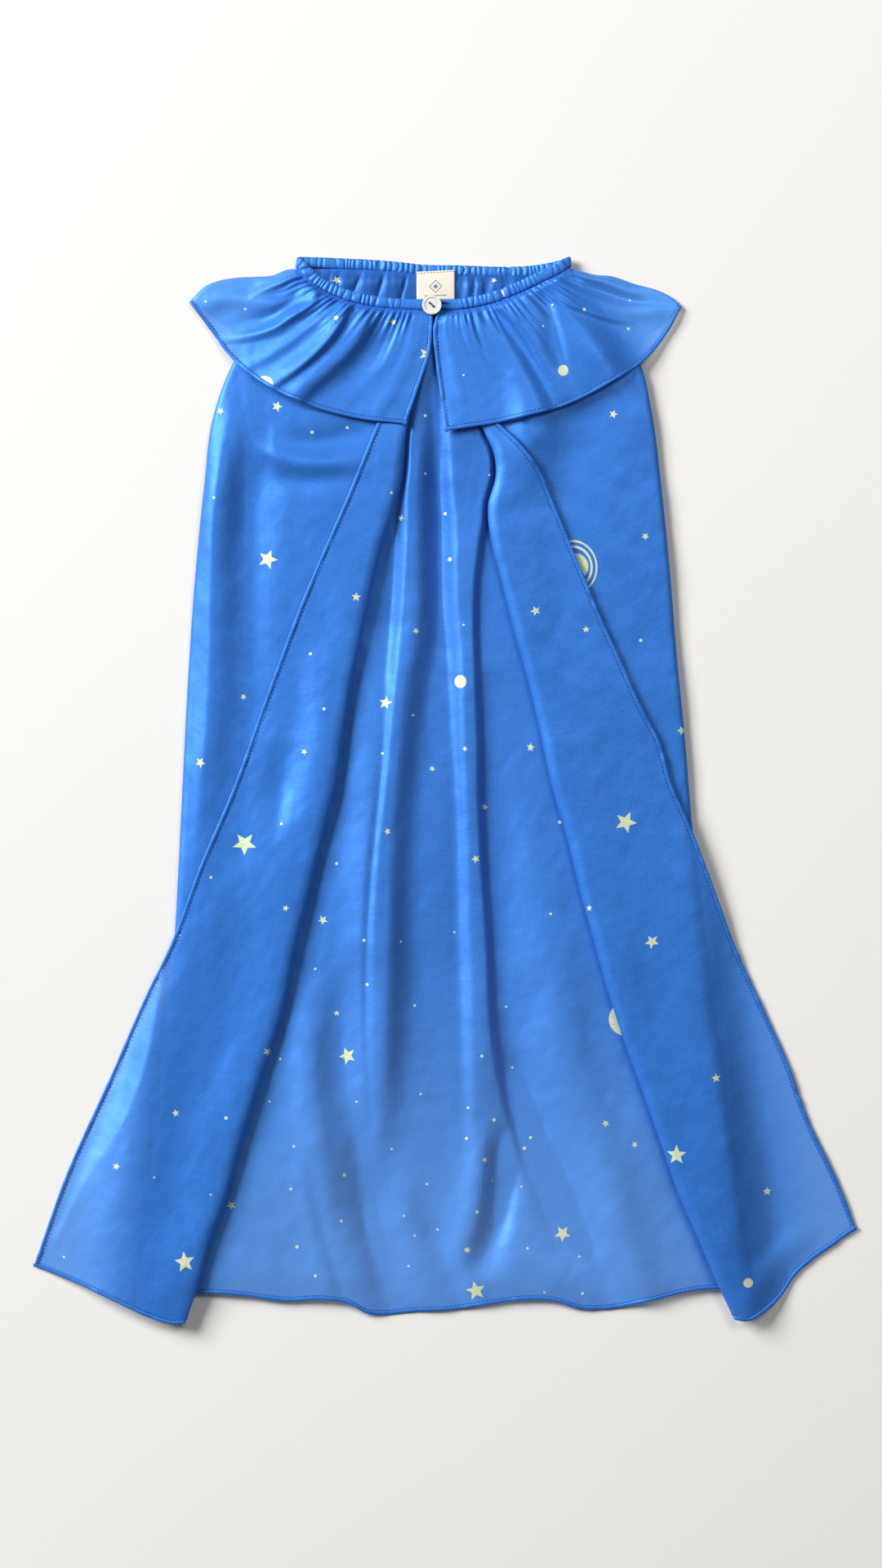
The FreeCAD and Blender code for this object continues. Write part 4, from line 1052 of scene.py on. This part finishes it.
# ------------------------------------------------------------------ where each motif lies
APART = 1000  # how far the body's fronts are kept from its back in the print's plan
SIDE_EDGES = {
    "left": (LEFT_FOLD, LEFT_EDGE, LEFT_COLLAR, -1),
    "right": (RIGHT_FOLD, RIGHT_EDGE, RIGHT_COLLAR, 1),
}


def sheet_at(x, y, kind):
    """The sheet that shows at a place, and its shift in the plan there. The ringed ball lies on the body."""
    if y > smooth(FRONT_SEAM, x) + 6 and -93 < x < 80:
        return "body", 0
    for name, (_, _, shape, sign) in SIDE_EDGES.items():
        front = smooth([(y0, x0) for x0, y0 in shape["front"]], y)
        if sign * (x - front) > 0 and y > smooth(shape["hem"], x):
            return name + "_collar", 0
    for name, (fold, edge, _, sign) in SIDE_EDGES.items():
        past_fold, past_edge = sign * (x - smooth(fold, y)), sign * (x - smooth(edge, y))
        if y < 240 and past_fold > 0 and past_edge < 2 and not (kind == RINGED and sign > 0):
            return name + "_flap", 0
    if x < smooth(LEFT_FOLD, y):
        return "body", -APART
    return "body", APART if x > smooth(RIGHT_FOLD, y) else 0


def sky():
    """Sorts the motifs to the sheets that show them, and scatters more where a sheet is covered."""
    rng = np.random.default_rng(11)
    every = [(x, y, s, STAR) for x, y, s in STARS] + [(x, y, s, DISC) for x, y, s in DISCS]
    every += [(x, y, s, DISC) for (x, y), s in zip(DOTS, rng.uniform(1.3, 2.3, len(DOTS)))]
    every += [(84, 146, 40, RINGED)]
    cut_by_hem = [(-118, 264.5, 12, DISC), (-12, 285, 10, STAR)]
    sheets = {"body": [(118, -150, 22, DISC)], "left_flap": [], "right_flap": [], "left_collar": cut_by_hem,
              "right_collar": [], "back_collar": []}
    for x, y, size, kind in every:
        sheet, shift = sheet_at(x, y, kind)
        sheets[sheet].append((x + shift, y, size, kind))
    for _ in range(70):
        x, y = rng.uniform(-190, 190), rng.uniform(-330, 330)
        size = rng.choice([1.8, 2.0, 4.5, 5.5, 7, 13])
        if not smooth(LEFT_FOLD, y) - 8 < x < smooth(RIGHT_FOLD, y) + 8 and y < 320:
            sheets["body"].append((x, y, size, DISC if size < 3 else STAR))
    for _ in range(16):
        x, y = rng.uniform(-150, 140), rng.uniform(260, 330)
        sheets["back_collar"].append((x, y, rng.choice([2, 5, 6]), STAR))
    return sheets


# ------------------------------------------------------------------ the pieces
def dress(thing, finish):
    """Gives a piece its material."""
    thing.data.materials.append(finish)
    return thing


def follow(pieces):
    """Bakes each piece's placement into its mesh."""
    for piece in pieces:
        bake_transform(piece)


def hem_and_row(hem_name, row_name, edge, seed, inset=2.9, lift=0.14, pitch=2.6, long=1.9):
    """The rolled hem along a sheet's edge, and the row of stitches that holds it down."""
    path, inward = edge
    hem = dress(rolled_hem(hem_name, path, inward, seed), SILK_HEM)
    line = path + inward * inset + [0, 0, lift]
    row = stitches(row_name, line, pitch, long, thick=0.34, lift=0.10)
    return hem, dress(row, THREAD_BLUE)


MOTIFS = sky()

# the body of the cape
body_points = cape_body()
body = dress(grid_object("cape_silk", body_points, measure(body_points)), SILK_BODY)
body_x, body_y = body_points[..., 0], body_points[..., 1]
front_columns = len(FRONT_COLUMNS)
on_back = np.zeros(body_points.shape[1])
on_back[front_columns:-front_columns] = 1
between = np.minimum(body_x - smooth(LEFT_FOLD, body_y), smooth(RIGHT_FOLD, body_y) - body_x)
# painted light on the back between the folds, stronger towards the hem, and painted shade in the neck well
# and below the collar
open_to_view = ease(-2, 10, between)
neck_well_shade = ease(308, 322, body_y) * ease(343, 335, body_y)
collar_shade_band = ease(150, 235, body_y)
back_painted_light = open_to_view * (0.08 + 0.72 * ease(-60, -320, body_y)) * (1 - collar_shade_band)
paint_light_and_shade(body, on_back * (back_painted_light - 0.8 * neck_well_shade - 0.35 * collar_shade_band * (1 - neck_well_shade)))
body_plan = body_points[..., :2].copy()
body_plan[:, :front_columns, 0] -= APART
body_plan[:, -front_columns:, 0] += APART
printed(body, body_plan, MOTIFS["body"], 5)
body_hem, body_stitches = hem_and_row("cape_hem_rolled", "cape_hem_stitches",
                                      edge_path((body_points[-1], body_points[-2])), 61, lift=0.12)
for piece in (body, body_hem, body_stitches):
    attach(piece, "cape")
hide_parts("back_panel", "left_front", "right_front")
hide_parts("back_panel_hem", "left_front_hem", "right_front_hem")


def flap(side, tip, body_side, own_folds, seed, nodes):
    """A turned-back front with its hem and its stitches."""
    fold, edge, _, sign = SIDE_EDGES[side]
    points = turned_front(fold, edge, tip, body_side, sign, own_folds)
    sheet = grid_object(f"{side}_turned_front", points, measure(points), flip=sign < 0)
    dress(sheet, SILK_BODY)
    printed(sheet, points[..., :2], MOTIFS[f"{side}_flap"], seed)
    # painted light: the turned-back front is paler where it lies alone on the table past the cape's side
    paint_light_and_shade(sheet, 0.9 * ease(-6, 60, sign * (points[..., 0] - smooth(body_side, points[..., 1]))))
    outline = edge_path((points[:, -1], points[:, -6]), (points[-1, ::-1], points[-4, ::-1]))
    hem, row = hem_and_row(f"{side}_front_hem_rolled", f"{side}_front_stitches", outline, seed + 1)
    follow((sheet, hem, row))
    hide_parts(nodes[0], nodes[1])
    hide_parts(nodes[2])


flap("left", LEFT_TIP, LEFT_SIDE, LEFT_FLAP_FOLDS, 71,
     ("left_facing", "left_flap", "left_flap_hem"))
flap("right", RIGHT_TIP, RIGHT_SIDE, RIGHT_FLAP_FOLDS, 75,
     ("right_facing", "right_flap", "right_flap_hem"))


def collar(side, folds, wing_folds, seed, nodes):
    """A front half of the collar with its hem and stitches."""
    _, _, shape, sign = SIDE_EDGES[side]
    points = collar_half(shape, folds, wing_folds, seed)
    sheet = grid_object(f"{side}_collar_silk", points, measure(points), flip=sign < 0)
    dress(sheet, SILK_COLLAR)
    printed(sheet, points[..., :2], MOTIFS[f"{side}_collar"], seed)
    # painted light: the collar is paler where it lies past the cape's sides on the table
    paint_light_and_shade(sheet, ease(-10, 26, past_body(points[..., 0], points[..., 1])))
    outline = edge_path((points[:, 0], points[:, 4]), (points[-1], points[-4]))
    hem, row = hem_and_row(f"{side}_collar_hem_rolled", f"{side}_collar_stitches", outline, seed + 1,
                           inset=2.8, pitch=2.5, long=1.8)
    follow((sheet, hem, row))
    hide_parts(nodes[0], nodes[1])
    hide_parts(nodes[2], nodes[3])


collar("left", LEFT_COLLAR_FOLDS, LEFT_WING_FOLDS, 81,
       ("left_collar", "left_lapel", "left_collar_hem", "left_lapel_hem"))
collar("right", RIGHT_COLLAR_FOLDS, RIGHT_WING_FOLDS, 91,
       ("right_collar", "right_lapel", "right_collar_hem", "right_lapel_hem"))

back_points = back_collar()
under = dress(grid_object("back_collar_silk", back_points, measure(back_points)), SILK_COLLAR)
printed(under, back_points[..., :2], MOTIFS["back_collar"], 95)
under_path, under_in = edge_path((back_points[-1], back_points[-4]))
under_hem = dress(rolled_hem("back_collar_hem_rolled", under_path, under_in, 96), SILK_HEM)
for piece in (under, under_hem):
    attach(piece, "cape")
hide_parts("back_collar")
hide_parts("back_collar_hem")

# the neck
casing, elastic, left_end, right_end = neck_pieces()
dress(casing, SILK_BAND)
dress(elastic, elastic_material())
for end in (left_end, right_end):
    dress(end, SILK_BAND)
for piece, node in ((casing, "neck_casing"), (elastic, "neck_elastic"), (left_end, "left_placket"),
                    (right_end, "right_placket")):
    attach(piece, "cape")
    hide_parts(node)
band_seam = route([(x, y + 0.9, 8.75) for x, y in FRONT_SEAM], np.linspace(0.05, 0.95, 300))
band_stitches = stitches("neck_band_stitches", band_seam, pitch=2.4, long=1.7, thick=0.34, lift=0.1)
dress(band_stitches, THREAD_BLUE)
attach(band_stitches, "cape")


def label():
    """The woven label: a small tape sewn by its top edge inside the back of the neck, its free end curling.

    Its height is a level tape with a shallow wave across it that grows towards the free end, and a dip at the
    sewn edge.
    """
    low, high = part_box("label")
    level = 5.6
    across = np.linspace(low.x, high.x, 26)[None, :] / MM
    down = np.linspace(0, 1, 22)[:, None]
    x = across + 0 * down
    y = high.y / MM + (low.y - high.y) / MM * down + 0.6 * np.sin((across + 6) / 12) * (1 - down)
    z = level + 0.35 * np.sin((across + 20) / 6.5) * down + 0.3 * down ** 2 - 1.6 * (1 - down) ** 3
    points = np.stack([x, y, z], axis=-1)
    tag = grid_object("label_tape", points, measure(points), flip=True)
    thick = tag.modifiers.new("thickness", "SOLIDIFY")
    thick.thickness = 0.25 * MM
    dress(tag, label_material())
    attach(tag, "neck_label")
    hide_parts("label")
    sewn = np.stack([x[0] + 0 * x[0], y[0] - 0.9, z[1] + 0.2], axis=-1)[1:-1]
    row = stitches("label_stitches", sewn, pitch=2.0, long=1.5, thick=0.3, lift=0.1)
    dress(row, THREAD_BLUE)
    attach(row, "neck_label")


label()

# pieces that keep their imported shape
for node, finish in (("button", shell_material()), ("button_thread", THREAD_BLUE),
                     ("button_loop", THREAD_BLUE), ("button_shank", THREAD_BLUE)):
    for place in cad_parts[node].material_slots:
        place.material = finish

# ------------------------------------------------------------------ table, light, camera
def studio():
    """A pale table top, a broad window-like light from the upper left, and even white surroundings."""
    half, depth = 4.0, -0.0003
    mesh = bpy.data.meshes.new("table")
    corners = [(-half, -half, depth), (half, -half, depth), (half, half, depth), (-half, half, depth)]
    mesh.from_pydata(corners, [], [(0, 1, 2, 3)])
    table = placed("floor", mesh)
    made, n, shader = material("table_paint", Roughness=0.7)
    cloud = n.noise(n.own_place(), 2.0)
    n.put(shader.inputs["Base Color"], n.mix(cloud, (0.78, 0.77, 0.745, 1), (0.81, 0.80, 0.775, 1)))
    table.data.materials.append(made)
    world = bpy.data.worlds.new("studio")
    bpy.context.scene.world = world
    world.use_nodes = True
    sky_light = world.node_tree.nodes["Background"].inputs
    sky_light["Color"].default_value = (0.92, 0.96, 1.0, 1)
    sky_light["Strength"].default_value = 0.10
    for name, place, size, power, colour in (
            ("window", (-3.9, 2.3, 2.9), 2.6, 468, (1, 0.99, 0.97)),
            ("skylight", (0.9, 1.4, 3.0), 1.2, 30, (1, 0.995, 0.98))):
        lamp = bpy.data.lights.new(name, "AREA")
        lamp.size = size
        lamp.energy = power
        lamp.color = colour
        holder = placed(name, lamp)
        holder.location = place
        aim(holder, place)


def aim(holder, place):
    """Turns a lamp so that it shines at the origin."""
    holder.rotation_euler = (-Vector(place)).to_track_quat("-Z", "Y").to_euler()


def camera():
    """A long lens straight above the cape."""
    seen, distance, film = 1.029, 2.6, 36
    lens = bpy.data.cameras.new("camera")
    lens.sensor_width = film
    lens.lens = film * distance / seen
    holder = placed("camera", lens)
    holder.location = (-0.0027, 0.0040, distance)
    bpy.context.scene.camera = holder
    bpy.context.scene.view_settings.view_transform = "Standard"


studio()
camera()
